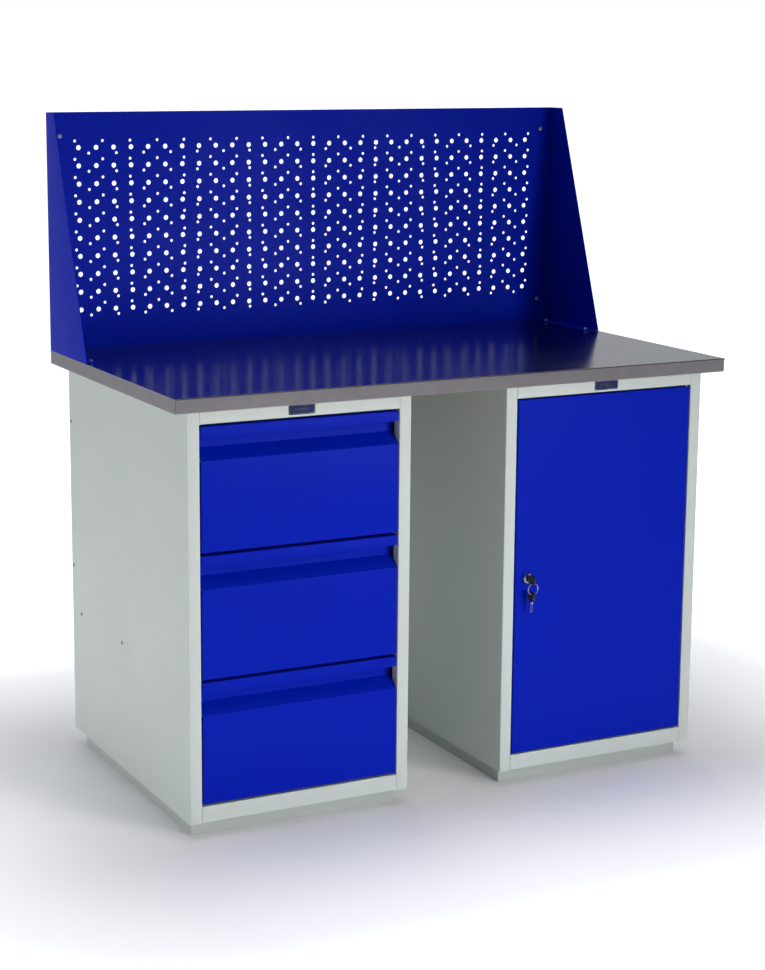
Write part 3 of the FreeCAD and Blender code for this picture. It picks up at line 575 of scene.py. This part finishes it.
@dataclass(frozen=True)
class Galvanised:
    """Zinc-coated sheet: faint crystals, rolling lines, handling marks and a painted highlight along its
    edges.
    """

    name: str
    colour: Colour
    roughness: tuple[float, float] = (0.14, 0.20)

    def make(self) -> Material:
        """Builds the material."""
        graph = MaterialGraph(self.name)
        spangle = graph.effect(Effect.SPANGLE, scale=55.0)
        handling = graph.effect(Effect.HANDLING, scale=4.0)
        grain = graph.effect(Effect.DRAWN_GRAIN, graph.stretched(0.02, 1.0, 1.0), scale=700.0)
        wear = graph.effect(Effect.EDGE_WEAR_AND_HIGHLIGHT, radius=0.0025)
        zinc = graph.mix(spangle["Tone"], opaque(self.colour, 0.965), opaque(self.colour, 1.035))
        zinc = graph.mix(graph.math("MULTIPLY", grain["Value"], 0.2), zinc, opaque(self.colour, 1.15))
        # Painted highlight: the zinc's colour turned lighter along every edge.
        bright = graph.math("MULTIPLY", wear["Edge"], 0.5)
        rough = graph.span(handling["Value"], 0.0, 1.0, self.roughness[0], self.roughness[1])
        rough = graph.math("MULTIPLY_ADD", spangle["Tone"], 0.02, rough)
        graph.shade(Base_Color=graph.mix(bright, zinc, opaque(self.colour, 1.6)), Roughness=rough,
                    Metallic=1.0)
        height = graph.math("MULTIPLY_ADD", spangle["Border"], 0.2, grain["Value"])
        graph.bump(height, 0.000005)
        return graph.material


@dataclass(frozen=True)
class Steel:
    """Bare or plated steel with drawn lines and patchy tone, lighter along its edges: partly polish from wear,
    partly a painted highlight.
    """

    name: str
    colour: Colour
    roughness: tuple[float, float] = (0.24, 0.4)
    grain: tuple[float, float, float] = (1.0, 0.04, 1.0)
    wear_and_highlight_gain: float = 1.35

    def make(self) -> Material:
        """Builds the material."""
        graph = MaterialGraph(self.name)
        handling = graph.effect(Effect.HANDLING, scale=22.0)
        grain = graph.effect(Effect.DRAWN_GRAIN, graph.stretched(*self.grain), scale=1400.0)
        wear = graph.effect(Effect.EDGE_WEAR_AND_HIGHLIGHT, radius=0.0008)
        metal = graph.mix(handling["Value"], opaque(self.colour, 0.86), opaque(self.colour, 1.08))
        rough = graph.span(grain["Value"], 0.3, 0.7, self.roughness[0], self.roughness[1])
        rough = graph.math("MULTIPLY_ADD", handling["Smear"], 0.06, rough)
        # Lighter edges: partly polish from wear, partly a painted highlight.
        graph.shade(Base_Color=graph.mix(wear["Mask"], metal, opaque(self.colour, self.wear_and_highlight_gain)),
                    Roughness=rough, Metallic=1.0)
        graph.bump(grain["Value"], 0.00001)
        return graph.material


@dataclass(frozen=True)
class Moulded(PowderCoat):
    """Moulded plastic, built up like the paint: fine texture, soft sheen, greyer along its edges, partly
    rubbed and partly a painted highlight.
    """

    roughness: tuple[float, float] = (0.38, 0.52)
    peel: float = 0.00002
    variation: float = 0.15
    wear: float = 0.5
    specular: float = 0.5
    patch_scale: float = 60.0
    smear: float = 0.0
    wear_radius: float = 0.0008
    wear_breakup: float = 400.0
    peel_scale: float = 2600.0


@dataclass(frozen=True)
class Fibreboard:
    """Pressed chips: flakes of differing brown with darker gaps."""

    name: str
    light: Colour
    dark: Colour

    def make(self) -> Material:
        """Builds the material."""
        graph = MaterialGraph(self.name)
        flakes = graph.effect(Effect.SPANGLE, graph.stretched(1.0, 1.0, 2.2), scale=260.0)
        handling = graph.effect(Effect.HANDLING, scale=30.0)
        wood = graph.mix(flakes["Tone"], opaque(self.dark), opaque(self.light))
        gap = graph.math("MULTIPLY", flakes["Border"], 0.5)
        rough = graph.span(handling["Value"], 0.0, 1.0, 0.7, 0.85)
        graph.shade(Base_Color=graph.mix(gap, wood, opaque(self.dark, 0.5)), Roughness=rough)
        graph.bump(flakes["Tone"], 0.0001)
        return graph.material


# In each PowderCoat the second colour is its lighter edge colour, partly rubbed paint and partly a painted
# highlight.
FINISHES: dict[str, object] = {
    "body_grey": PowderCoat("light_grey_powder", (0.50, 0.545, 0.52), (0.72, 0.76, 0.76), wear=0.3,
                            variation=0.015),
    # The plinth is the body's grey paint made about a fifth darker: painted shade for the shadow under the
    # overhang.
    "plinth_grey": PowderCoat("plinth_grey_with_painted_shade", (0.41, 0.445, 0.42), (0.6, 0.63, 0.61), variation=0.02),
    "box_grey": PowderCoat("box_grey_powder", (0.45, 0.49, 0.47), (0.7, 0.72, 0.7), variation=0.02),
    "blue_paint": PowderCoat("deep_blue_powder", (0.0003, 0.0105, 0.36), (0.01, 0.05, 0.62),
                             roughness=(0.28, 0.33), specular=0.05, variation=0.03),
    "galvanised": Galvanised("galvanised_sheet", (0.50, 0.47, 0.485)),
    "board": Fibreboard("pressed_board", (0.52, 0.36, 0.2), (0.3, 0.19, 0.1)),
    "zinc": Steel("zinc_plate", (0.86, 0.87, 0.92), roughness=(0.34, 0.5)),
    "rivet": Steel("dulled_rivet", (0.18, 0.18, 0.18), roughness=(0.35, 0.5)),
    "slide_steel": Steel("slide_zinc", (0.55, 0.56, 0.58), roughness=(0.22, 0.36)),
    "bright_steel": Steel("bright_steel", (0.66, 0.66, 0.67), roughness=(0.14, 0.26)),
    "chrome": Steel("polished_chrome", (0.55, 0.56, 0.62), roughness=(0.10, 0.18), wear_and_highlight_gain=1.1),
    "nylon": Moulded("black_nylon", (0.015, 0.015, 0.016), (0.08, 0.08, 0.08)),
    "key_plastic": Moulded("black_key_plastic", (0.008, 0.008, 0.012), (0.06, 0.06, 0.07)),
    "badge": PowderCoat("badge_enamel", (0.006, 0.010, 0.07), (0.42, 0.44, 0.5), wear=0.8, peel=0.00001),
}


class Finishes:
    """The finish of each material slot, made when first used."""

    def __init__(self, record: dict) -> None:
        """Reads which slot each node has."""
        self.slots = {part["node"]: part["material_slot"] for part in record["subparts"]}
        self.made: dict[str, Material] = {}

    def get(self, slot: str) -> Material:
        """The material of a slot."""
        if slot not in self.made:
            self.made[slot] = FINISHES[slot].make()
        return self.made[slot]

    def dress(self, nodes: dict[str, Object]) -> None:
        """Gives every CAD node its slot's finish."""
        for name, node in nodes.items():
            node.data.materials.clear()
            node.data.materials.append(self.get(self.slots[name]))
            LOG.info("%s: %s", name, self.slots[name])


# ------------------------------------------------------------------ the bench's finer pieces

@dataclass
class DrawerFront:
    """One folded sheet: a hooked handle along the top, a slanted run, a flat face and its returns."""

    index: int
    sheet: float = 1.2 * MM
    bend: float = 1.6 * MM
    lip: float = 19.5 * MM
    depth: float = 27 * MM
    wall: float = 42.75 * MM
    slant: float = 64.25 * MM
    fold: float = 18 * MM

    def build(self, finishes: Finishes) -> Object:
        """Builds the front from its side profile, carried along X between the CAD front's ends."""
        node = f"drawer_{self.index}_front"
        low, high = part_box(node)
        half = self.sheet / 2
        face, rear = low.y + half, low.y + self.depth - half
        profile = [(face, high.z - self.lip), (face, high.z - half), (rear, high.z - half),
                   (rear, high.z - self.wall), (face, high.z - self.slant), (face, low.z + half),
                   (low.y + self.fold, low.z + half)]
        outline = strip_outline(bent_line(profile, self.bend), self.sheet)
        patches = [swept(outline, Axis.X, low.x, high.x)]
        side = np.array([[low.y + self.bend, low.z + self.bend], [low.y + self.fold, low.z + self.bend],
                         [low.y + self.fold, high.z - self.slant - self.bend],
                         [low.y + self.bend, high.z - self.slant - self.bend]])
        for x in (low.x, high.x - self.sheet):
            patches.append(swept(side, Axis.X, x, x + self.sheet))
        piece = Piece(f"drawer_{self.index}_folded_front", f"drawer_{self.index}", "blue_paint", (node,),
                      edge=0.3 * MM)
        return piece.make(patches, finishes)


@dataclass
class DrawerBox:
    """The open box: pressed corners, a rounded floor edge and a rim folded flat to the inside."""

    index: int
    sheet: float = 1.0 * MM
    corner: float = 4.0 * MM
    floor_bend: float = 2.5 * MM
    hem: float = 9.0 * MM
    core: float = 3.0 * MM

    def build(self, finishes: Finishes) -> Object:
        """Builds the box as rings over its outside, across the rim and down to its inner floor."""
        node = f"drawer_{self.index}_box"
        low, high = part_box(node)
        half = ((high.x - low.x) / 2, (high.y - low.y) / 2)
        centre = ((high.x + low.x) / 2, (high.y + low.y) / 2)
        t, r = self.sheet, self.floor_bend
        turn = np.linspace(0, math.pi / 2, 5)
        outside = [(r - r * math.sin(a), low.z + r - r * math.cos(a)) for a in turn]
        rim = [(t - t * math.cos(a), high.z - t + t * math.sin(a)) for a in np.linspace(0, math.pi, 7)]
        inside = [(t + (r - t) * (1 - math.sin(a)), low.z + r - (r - t) * math.cos(a)) for a in turn[::-1]]
        hem, middle = high.z - self.hem, half[0] - self.core
        rings = [(middle, low.z)] + outside + rim + [(2 * t, hem), (t, hem)] + inside
        rings.append((middle, low.z + t))
        patch = tray(rings, half, self.corner, centre, Axis.Z)
        piece = Piece(f"drawer_{self.index}_pressed_box", f"drawer_{self.index}", "box_grey", (node,),
                      sharp=40)
        return piece.make([patch], finishes)


@dataclass
class PedestalShell:
    """One side of a pedestal in a single sheet: front return, stile, rounded corner and side wall."""

    pedestal: str
    side: str
    door_stop: bool = False
    sheet: float = 1.2 * MM
    bend: float = 1.5 * MM
    stile: float = 25.0 * MM
    fold: float = 20.8 * MM
    stop_width: float = 10.0 * MM
    stop_gap: float = 0.5 * MM

    def build(self, finishes: Finishes) -> Object:
        """Builds the sheet from its plan, carried up between the base and the worktop."""
        node = f"{self.pedestal}_side_{self.side}"
        stiles = f"{self.pedestal}_stiles"
        low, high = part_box(node)
        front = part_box(stiles)[0].y
        half = self.sheet / 2
        toward = 1 if self.side == "left" else -1
        outer = low.x if toward > 0 else high.x
        inner = outer + toward * (self.stile - half)
        plan = [(inner, front + self.fold), (inner, front + half), (outer + toward * half, front + half),
                (outer + toward * half, high.y)]
        outline = strip_outline(bent_line(plan, self.bend), self.sheet)
        patches = [swept(outline, Axis.Z, low.z, high.z)]
        if self.door_stop:
            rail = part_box(f"{self.pedestal}_top_rail")[0].z
            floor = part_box(f"{self.pedestal}_floor")[1].z
            stop_x = sorted((inner - toward * half, outer + toward * (self.stile + self.stop_width)))
            stop_y = (front + self.fold, front + self.fold + self.sheet)
            stop = rectangle_between(stop_x, stop_y, 0.3 * MM, 2)
            patches.append(swept(stop, Axis.Z, floor + self.stop_gap, rail - self.stop_gap))
        piece = Piece(f"{self.pedestal}_shell_{self.side}", "bench", "body_grey", (node, stiles),
                      edge=0.25 * MM)
        return piece.make(patches, finishes)


@dataclass
class Cheek:
    """A side cheek of the screen: sheet bent round the rear corner, with a foot on the worktop."""

    side: int
    sheet: float = 1.5 * MM
    bend: float = 1.6 * MM
    flange: float = 41.5 * MM
    lean: float = 170 * MM
    foot: float = 30 * MM
    foot_inset: tuple[float, float] = (6 * MM, 4 * MM)

    def build(self, finishes: Finishes) -> Object:
        """Builds the cheek as a bent sheet whose front edge leans back with height.

        The middle line runs from the rear flange's free edge round the bend and forward to the front edge,
        whose place is linear in height.
        """
        name = "left" if self.side < 0 else "right"
        node = f"screen_gusset_{name}"
        low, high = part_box(node)
        outer = low.x if self.side < 0 else high.x
        half, toward = self.sheet / 2, -self.side
        rear_free = outer + toward * self.flange
        line = bent_line([(rear_free, high.y - half), (outer + toward * half, high.y - half),
                          (outer + toward * half, low.y)], self.bend)
        outline = strip_outline(line, self.sheet)
        rows = []
        for share in np.linspace(0.0, 1.0, 9):
            z = low.z + share * (high.z - low.z)
            ring = outline.copy()
            front = ring[:, 1] < low.y + MM
            ring[front, 1] = low.y + share * self.lean
            rows.append(Axis.Z.place(ring[:, 0], ring[:, 1], np.array(z)))
        foot_x = sorted((outer + toward * (self.sheet - 0.2 * MM), outer + toward * self.foot))
        foot_y = (low.y + self.foot_inset[0], high.y - self.foot_inset[1])
        foot = rectangle_between(foot_x, foot_y, 3 * MM)
        patches = [Patch.grid(np.stack(rows)), swept(foot, Axis.Z, low.z, low.z + self.sheet)]
        piece = Piece(f"screen_cheek_{name}", "bench", "blue_paint", (node,), edge=0.35 * MM)
        return piece.make(patches, finishes)


@dataclass
class PanHead:
    """A pan-head screw with a cross recess."""

    axis: Axis
    side: int
    radius: float
    height: float
    shank: float
    length: float
    count: int = 48

    def patch(self, place: tuple[float, float], base: float) -> Patch:
        """One screw with its head on a surface.

        The head's height at radius r and angle a is its dome, h (1 - 0.35 (r/R)^4), less the recess: a
        cross whose arms lie where the distance to the nearer axis is under a width that narrows outwards.

        Args:
            place: In-plane centre, in X, Y, Z order.
            base: The surface's place along the axis.

        Returns:
            The patch.
        """
        share = np.concatenate([np.linspace(0.03, 0.62, 12), [0.8, 0.92, 0.98, 1.0]])[:, None]
        angle = turns(self.count)[None, :]
        r = self.radius * share
        across = r * np.minimum(np.abs(np.sin(angle)), np.abs(np.cos(angle)))
        arm = np.clip((0.15 * self.radius - across) / (0.05 * self.radius), 0, 1)
        recess = arm * np.clip((0.58 - share) / 0.12, 0, 1)
        top = self.height * (1 - 0.35 * share ** 4) - 0.55 * self.height * recess
        below = np.array([(self.radius, 0.25 * self.height), (0.97 * self.radius, 0.0), (self.shank, 0.0),
                          (self.shank, -self.length), (0.5 * self.shank, -self.length - 0.6 * self.shank)])
        heights = np.vstack([top, np.repeat(below[:, 1:], self.count, axis=1)])
        u, v = polar(np.vstack([r, below[:, :1]]), angle)
        return Patch.grid(self.axis.place(place[0] + u, place[1] + v, base + self.side * heights))


@dataclass
class Fasteners:
    """The screws and rivets that show, at the places of their CAD solids."""

    panel_inset: float = 28 * MM
    panel_rise: tuple[float, float] = (50 * MM, 437 * MM)
    foot_inset: float = 18 * MM
    foot_y: tuple[float, float] = (145 * MM, 310 * MM)
    foot_sheet: float = 1.5 * MM
    rivet_proud: float = 1.3 * MM
    rivet_places: tuple[tuple[int, int], ...] = ((320, 697), (320, 390), (277, 294), (39, 294))

    def build(self, finishes: Finishes) -> None:
        """Builds each kind as one piece."""
        half_width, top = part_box("worktop_cover")[1].x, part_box("worktop_cover")[1].z
        panel = PanHead(Axis.Y, -1, radius=4.6 * MM, height=2.4 * MM, shank=2.4 * MM, length=1.5 * MM)
        foot = PanHead(Axis.Z, 1, radius=4.8 * MM, height=4.4 * MM, shank=2.9 * MM, length=17 * MM)
        screws = []
        for side in (-1, 1):
            x = side * (half_width - self.panel_inset)
            screws += [panel.patch((x, top + rise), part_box("screen_panel")[0].y) for rise in self.panel_rise]
            x = side * (half_width - self.foot_inset)
            screws += [foot.patch((x, y), top + self.foot_sheet) for y in self.foot_y]
        piece = Piece("screen_pan_screws", "bench", "zinc", ("screen_screws",), sharp=50)
        piece.make(screws, finishes)

        low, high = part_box("side_rivets")
        rivets = []
        for side, base in ((-1, low.x + self.rivet_proud), (1, high.x - self.rivet_proud)):
            dome = [(0.35, 0.55), (1.0, 0.7), (1.3, 1.15), (2.2, 1.25), (3.2, 0.9), (3.8, 0.45), (4.0, 0.0),
                    (2.0, 0.0), (2.0, -4.0), (1.0, -4.4)]
            profile = [(r * MM, base + side * h * MM) for r, h in dome]
            for y, z in self.rivet_places:
                rivets.append(lathe(profile, Axis.X, (y * MM, z * MM), count=28))
        piece = Piece("side_blind_rivets", "bench", "rivet", ("side_rivets",), sharp=50)
        piece.make(rivets, finishes)


@dataclass
class BlankPlates:
    """The small blank plates on the top rails: a raised border round a sunk field with one plain bar."""

    width: float = 54 * MM
    corner: float = 2.5 * MM
    border: float = 1.6 * MM

    def build(self, finishes: Finishes) -> Object:
        """Builds both plates as rings from the back edge over the border into the field."""
        low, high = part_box("blank_plates")
        half = (self.width / 2, (high.z - low.z) / 2)
        face, field = low.y, low.y + 0.5 * MM
        rings = [(0.0, high.y), (0.0, face + 0.4 * MM), (0.15 * MM, face + 0.1 * MM), (0.5 * MM, face),
                 (self.border, face), (self.border + 0.4 * MM, field), (half[1] - 0.5 * MM, field)]
        bar_half = (half[0] * 0.55, 1.3 * MM)
        bar_rings = [(0.0, high.y - 0.2 * MM), (0.0, face + 0.25 * MM), (0.4 * MM, face + 0.05 * MM)]
        patches = []
        for x in (low.x + half[0], high.x - half[0]):
            centre = (x, (high.z + low.z) / 2)
            patches.append(tray(rings, half, self.corner, centre, Axis.Y))
            patches.append(tray(bar_rings, bar_half, 1.2 * MM, centre, Axis.Y))
        piece = Piece("blank_rail_plates", "bench", "badge", ("blank_plates",), sharp=40)
        return piece.make(patches, finishes)


@dataclass
class LockFace:
    """The lock's chromed barrel with a stepped round face."""

    def build(self, finishes: Finishes) -> Object:
        """Builds the barrel as a closed profile turned about the lock's axis."""
        low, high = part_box("lock_body")
        centre = ((low.x + high.x) / 2, (low.z + high.z) / 2)
        face = low.y
        profile = [(6.06, 24.5), (6.06, 0.5), (6.3, 0.12), (6.8, 0.0), (7.6, 0.05), (8.0, 0.35), (8.5, 0.4),
                   (9.0, 0.3), (9.6, 0.45), (10.15, 0.95), (10.45, 1.7), (10.5, 2.5), (10.3, 3.0), (9.0, 3.0),
                   (9.0, 24.0), (8.6, 24.5)]
        line = [(r * MM, face + y * MM) for r, y in profile]
        piece = Piece("lock_barrel", "door", "chrome", ("lock_body",), sharp=50)
        return piece.make([lathe(line, Axis.Y, centre, count=64, wrap=True)], finishes)


@dataclass
class KeyShape:
    """A key: a moulded head with a dished face, and a grooved blade with teeth."""

    head: str
    blade: str
    body: str
    hanging: bool
    head_half: tuple[float, float] = (10 * MM, 9.5 * MM)
    squareness: float = 3.2
    hole_offset: tuple[float, float] = (-4 * MM, -5 * MM)
    hole_radius: float = 3.0 * MM
    length: float = 22 * MM
    tang: float = 4.5 * MM
    half_depth: float = 4 * MM
    tip: float = 3 * MM
    teeth: tuple[float, float] = (4 * MM, 19 * MM)
    tooth_pitch: float = 3 * MM
    tooth_depth: float = 1.5 * MM

    def build(self, finishes: Finishes) -> None:
        """Builds the head and the blade in the lock's pose, turned down where the key hangs."""
        low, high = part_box("key_head")
        self.centre_x = (low.x + high.x) / 2
        self.middle = np.array([(low.y + high.y) / 2, (low.z + high.z) / 2])
        self.hole = self.middle + self.hole_offset
        name = "spare_key" if self.hanging else "key"
        head = Piece(f"{name}_moulded_head", self.body, "key_plastic", (self.head,), sharp=60)
        head.make([self._turned(self._head_patch())], finishes)
        blade = Piece(f"{name}_cut_blade", self.body, "bright_steel", (self.blade,), edge=0.12 * MM)
        blade.make([self._turned(self._blade_patch())], finishes)

    def _turned(self, patch: Patch) -> Patch:
        """The patch as it is, or turned a quarter about the hole so that the blade points down."""
        if self.hanging:
            y = patch.points[:, 1] - self.hole[0]
            z = patch.points[:, 2] - self.hole[1]
            hole_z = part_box(self.head)[1].z + (self.middle[0] - self.head_half[0] - self.hole[0])
            patch.points[:, 1] = self.hole[0] + z
            patch.points[:, 2] = hole_z - y
        return patch

    def _head_patch(self) -> Patch:
        """A ring-shaped surface between the hole and a superellipse round the head.

        At angle a the outline is a superellipse of the given squareness about the head's middle and the
        hole is a circle. A point at share f from hole to outline lies on the line between them, and its
        height off the middle plane follows a rounded edge at both ends with a shallow dish between.
        """
        angle = turns(56)
        way = np.stack([np.cos(angle), np.sin(angle)], axis=1)
        squared = np.sign(way) * np.abs(way) ** (2 / self.squareness)
        outline = self.middle + self.head_half * squared
        ring = self.hole + self.hole_radius * way
        share = np.array([0.0, 0.03, 0.1, 0.16, 0.3, 0.5, 0.68, 0.76, 0.85, 0.93, 0.98, 1.0])
        height = np.array([2.3, 2.75, 3.0, 3.0, 2.55, 2.5, 2.55, 2.95, 3.0, 2.8, 2.35, 1.6]) * MM
        shares = np.concatenate([share, share[::-1]])
        heights = np.concatenate([height, -height[::-1]])
        flat = ring[None] + shares[:, None, None] * (outline - ring)[None]
        x = np.broadcast_to((self.centre_x + heights)[:, None], flat.shape[:2])
        return Patch.grid(np.stack([x, flat[..., 0], flat[..., 1]], axis=-1), wrap_rows=True)

    def _blade_patch(self) -> Patch:
        """Cross-sections along the blade: a flat bar with a groove in each face, its lower edge cut by a
        saw-tooth of the distance along it, and a tip that slopes to a point."""
        root = self.middle[0] + self.head_half[0]
        y = np.linspace(-self.tang, self.length, 60)[:, None]
        first, last = self.teeth
        tooth = np.abs(((y - first) / self.tooth_pitch) % 1.0 - 0.5) * 2
        cut = np.where((y > first) & (y < last), (1 - tooth) * self.tooth_depth, 0.0)
        slope = np.clip((y - (self.length - self.tip)) / self.tip, 0, 1)
        bottom = -self.half_depth + cut + slope * 3.2 * MM
        top = self.half_depth - slope * 2.2 * MM
        level = np.array([0.0, 0.3, 0.38, 0.5, 0.58, 1.0, 1.0, 0.58, 0.5, 0.38, 0.3, 0.0])[None, :]
        side = np.array([1.0, 1.0, 0.6, 0.6, 1.0, 1.0, -1.0, -1.0, -0.6, -0.6, -1.0, -1.0])[None, :] * MM
        z = self.middle[1] + bottom + level * (top - bottom)
        return Patch.grid(np.stack([self.centre_x + np.broadcast_to(side, z.shape),
                                    np.broadcast_to(root + y, z.shape), z], axis=-1))


@dataclass
class SplitRing:
    """A sprung ring of nearly two turns of wire."""

    wire: float = 0.68 * MM
    turns: float = 1.9
    margin: float = 0.8 * MM
    start: float = math.radians(200)
    crossing: float = 0.35

    def build(self, finishes: Finishes) -> Object:
        """Builds the ring as a tube along a flat helix: each turn lies one wire beside the last."""
        low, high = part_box("key_ring")
        centre = (low + high) / 2
        radius = (high.x - low.x) / 2 - self.margin
        t = np.linspace(0, self.turns * 2 * math.pi, 150)
        shift = np.tanh((t - self.turns * math.pi) / self.crossing) * self.wire * 1.02
        across = turns(10)
        reach = radius + self.wire * np.cos(across)[None, :]
        x = centre.x + reach * np.cos(t + self.start)[:, None]
        z = centre.z + reach * np.sin(t + self.start)[:, None]
        y = centre.y + shift[:, None] + self.wire * np.sin(across)[None, :]
        piece = Piece("split_key_ring", "ring", "bright_steel", ("key_ring",), sharp=60)
        return piece.make([Patch.grid(np.stack([x, np.broadcast_to(y, x.shape), z], axis=-1))],
                          finishes)


# ------------------------------------------------------------------ studio

@dataclass(frozen=True)
class Lamp:
    """A square area lamp aimed at a point, its beam narrowed to spread degrees."""

    name: str
    place: tuple[float, float, float]
    target: tuple[float, float, float]
    size: float
    power: float
    spread: float
    mirrored: bool = True

    def build(self) -> None:
        """Adds the lamp to the scene; one that isn't mirrored lights without showing in the metal."""
        data = bpy.data.lights.new(self.name, "AREA")
        data.size, data.energy, data.spread = self.size, self.power, math.radians(self.spread)
        lamp = bpy.data.objects.new(self.name, data)
        lamp.location = self.place
        lamp.visible_glossy = self.mirrored
        way = Vector(self.target) - Vector(self.place)
        lamp.rotation_euler = way.to_track_quat("-Z", "Y").to_euler()
        bpy.context.scene.collection.objects.link(lamp)


LAMPS: tuple[Lamp, ...] = (
    Lamp("overhead", (0.0, -0.3, 4.4), (0.0, -0.1, 0.0), 3.4, 16.0, 90, mirrored=False),
    Lamp("front", (-1.2, -4.2, 0.7), (-0.2, -0.3, 0.3), 1.6, 3.0, 120),
    Lamp("left", (-4.2, 0.6, 0.8), (-0.6, 0.0, 0.4), 1.6, 25.0, 120),
    Lamp("low", (1.7, -4.0, 0.65), (-0.50, -0.3, 0.38), 1.3, 11.5, 54, mirrored=False),
    Lamp("high", (1.4, -3.8, 2.8), (-0.35, -0.3, 0.30), 1.8, 4.0, 56, mirrored=False),
    Lamp("back", (0.6, 4.2, 2.4), (0.0, 0.3, 0.5), 2.0, 14.0, 130, mirrored=False),
    Lamp("right", (4.2, 0.6, 1.6), (0.6, 0.0, 0.4), 1.6, 8.0, 120, mirrored=False),
)


@dataclass
class Studio:
    """A pale floor with a painted glow, soft lamps and the camera."""

    eye: tuple[float, float, float] = (-1.9593, -3.7167, 1.4569)
    forward: tuple[float, float, float] = (0.43697, 0.88058, -0.18342)
    roll: float = math.radians(0.233)
    lens: float = 76.98
    shift: tuple[float, float] = (0.05, -0.05)
    room: tuple[float, float] = (0.06, 0.42)
    # Strength of the floor's painted glow, the bounce light it gives the bench.
    floor_glow: float = 0.42
    footprint: tuple[float, float, float] = (0.58, 0.29, 0.0)
    floor_half: float = 60.0
    floor_drop: float = 0.0004

    def build(self) -> None:
        """Builds the studio."""
        self._camera()
        self._floor()
        self._room()
        for lamp in LAMPS:
            lamp.build()

    def _camera(self) -> None:
        """A long lens from the front left, a little above the worktop."""
        data = bpy.data.cameras.new("camera")
        data.lens = self.lens
        data.sensor_width = 36.0
        data.shift_x, data.shift_y = self.shift
        data.clip_end = 200
        camera = bpy.data.objects.new("camera", data)
        camera.location = self.eye
        level = Vector(self.forward).to_track_quat("-Z", "Y")
        camera.rotation_euler = (level @ Quaternion((0.0, 0.0, 1.0), self.roll)).to_euler()
        bpy.context.scene.collection.objects.link(camera)
        bpy.context.scene.camera = camera

    def _floor(self) -> None:
        """A pale floor with a painted glow that lights the bench, faint near the bench as painted contact
        shade; for the camera it brightens to white away from the bench.
        """
        share = np.linspace(-1, 1, 33)
        line = np.sign(share) * share ** 2 * self.floor_half
        x, y = np.meshgrid(line, line, indexing="ij")
        points = np.stack([x, y, np.full_like(x, -self.floor_drop)], axis=-1)
        patch = Patch.grid(points, wrap_columns=False, caps=False)
        mesh = bpy.data.meshes.new("floor")
        mesh.from_pydata(patch.points, [], patch.faces)
        graph = MaterialGraph("studio_floor")
        across = graph.vector("ABSOLUTE", graph.stretched(1.0, 1.0, 0.0))
        past = graph.vector("SUBTRACT", across[0], self.footprint)
        past = graph.vector("MAXIMUM", past[0], (0.0, 0.0, 0.0))
        away = graph.vector("LENGTH", past[0])["Value"]
        # Painted glow that lights the bench from below: faint next to the bench as painted contact shade,
        # fading far out.
        floor_glow = graph.math("MULTIPLY", graph.span(away, 0.0, 0.6, 0.05, self.floor_glow),
                          graph.span(away, 1.0, 4.0, 1.0, 0.35))
        speckle = graph.noise(graph.place, 12.0, Detail=5.0)
        tone = graph.mix(speckle[0], (0.82, 0.82, 0.86, 1), (0.87, 0.87, 0.90, 1))
        seen = graph.add("ShaderNodeLightPath").outputs["Is Camera Ray"]
        # Painted glow seen only by the camera, from none at the bench to white a metre out.
        white = graph.math("MULTIPLY", seen, graph.span(away, 0.08, 1.05, 0.0, 1.0))
        graph.shade(Base_Color=tone, Roughness=0.7, Emission_Color=WHITE,
                    Emission_Strength=graph.math("MAXIMUM", floor_glow, white))
        mesh.materials.append(graph.material)
        floor = bpy.data.objects.new("floor", mesh)
        bpy.context.scene.collection.objects.link(floor)

    def _room(self) -> None:
        """A white background, with dimmer walls for what the metal mirrors."""
        world = bpy.data.worlds.new("room")
        bpy.context.scene.world = world
        world.use_nodes = True
        graph = Graph(world.node_tree)
        background = next(node for node in graph.tree.nodes if node.type == "BACKGROUND")
        way = graph.add("ShaderNodeSeparateXYZ", {0: graph.add("ShaderNodeTexCoord").outputs["Generated"]})
        rear = graph.span(way.outputs[1], -0.5, 0.7, 0.0, 1.0)
        wall = graph.mix(rear, opaque((1.0, 0.96, 0.98), self.room[0]),
                         opaque((0.94, 1.0, 1.05), self.room[1]))
        seen = graph.add("ShaderNodeLightPath").outputs["Is Camera Ray"]
        graph.feed(background.inputs["Color"], graph.mix(seen, wall, WHITE))
        background.inputs["Strength"].default_value = 1.0


def main() -> None:
    """Loads the frame, dresses it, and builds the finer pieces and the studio."""
    logging.basicConfig(level=logging.INFO, format="%(name)s %(message)s")
    bpy.ops.wm.read_factory_settings(use_empty=True)
    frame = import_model()
    finishes = Finishes(frame["record"])
    finishes.dress(frame["nodes"])
    for index in (1, 2, 3):
        DrawerFront(index).build(finishes)
        DrawerBox(index).build(finishes)
    for pedestal in ("drawer_pedestal", "door_pedestal"):
        for side in ("left", "right"):
            door_stop = (pedestal, side) == ("door_pedestal", "left")
            PedestalShell(pedestal, side, door_stop).build(finishes)
    for side in (-1, 1):
        Cheek(side).build(finishes)
    Fasteners().build(finishes)
    BlankPlates().build(finishes)
    LockFace().build(finishes)
    KeyShape("key_head", "key_blade", "key", hanging=False).build(finishes)
    KeyShape("spare_key_head", "spare_key_blade", "spare_key", hanging=True).build(finishes)
    SplitRing().build(finishes)
    Studio().build()
    bpy.context.scene.view_settings.view_transform = "Standard"


if __name__ == "__main__":
    main()
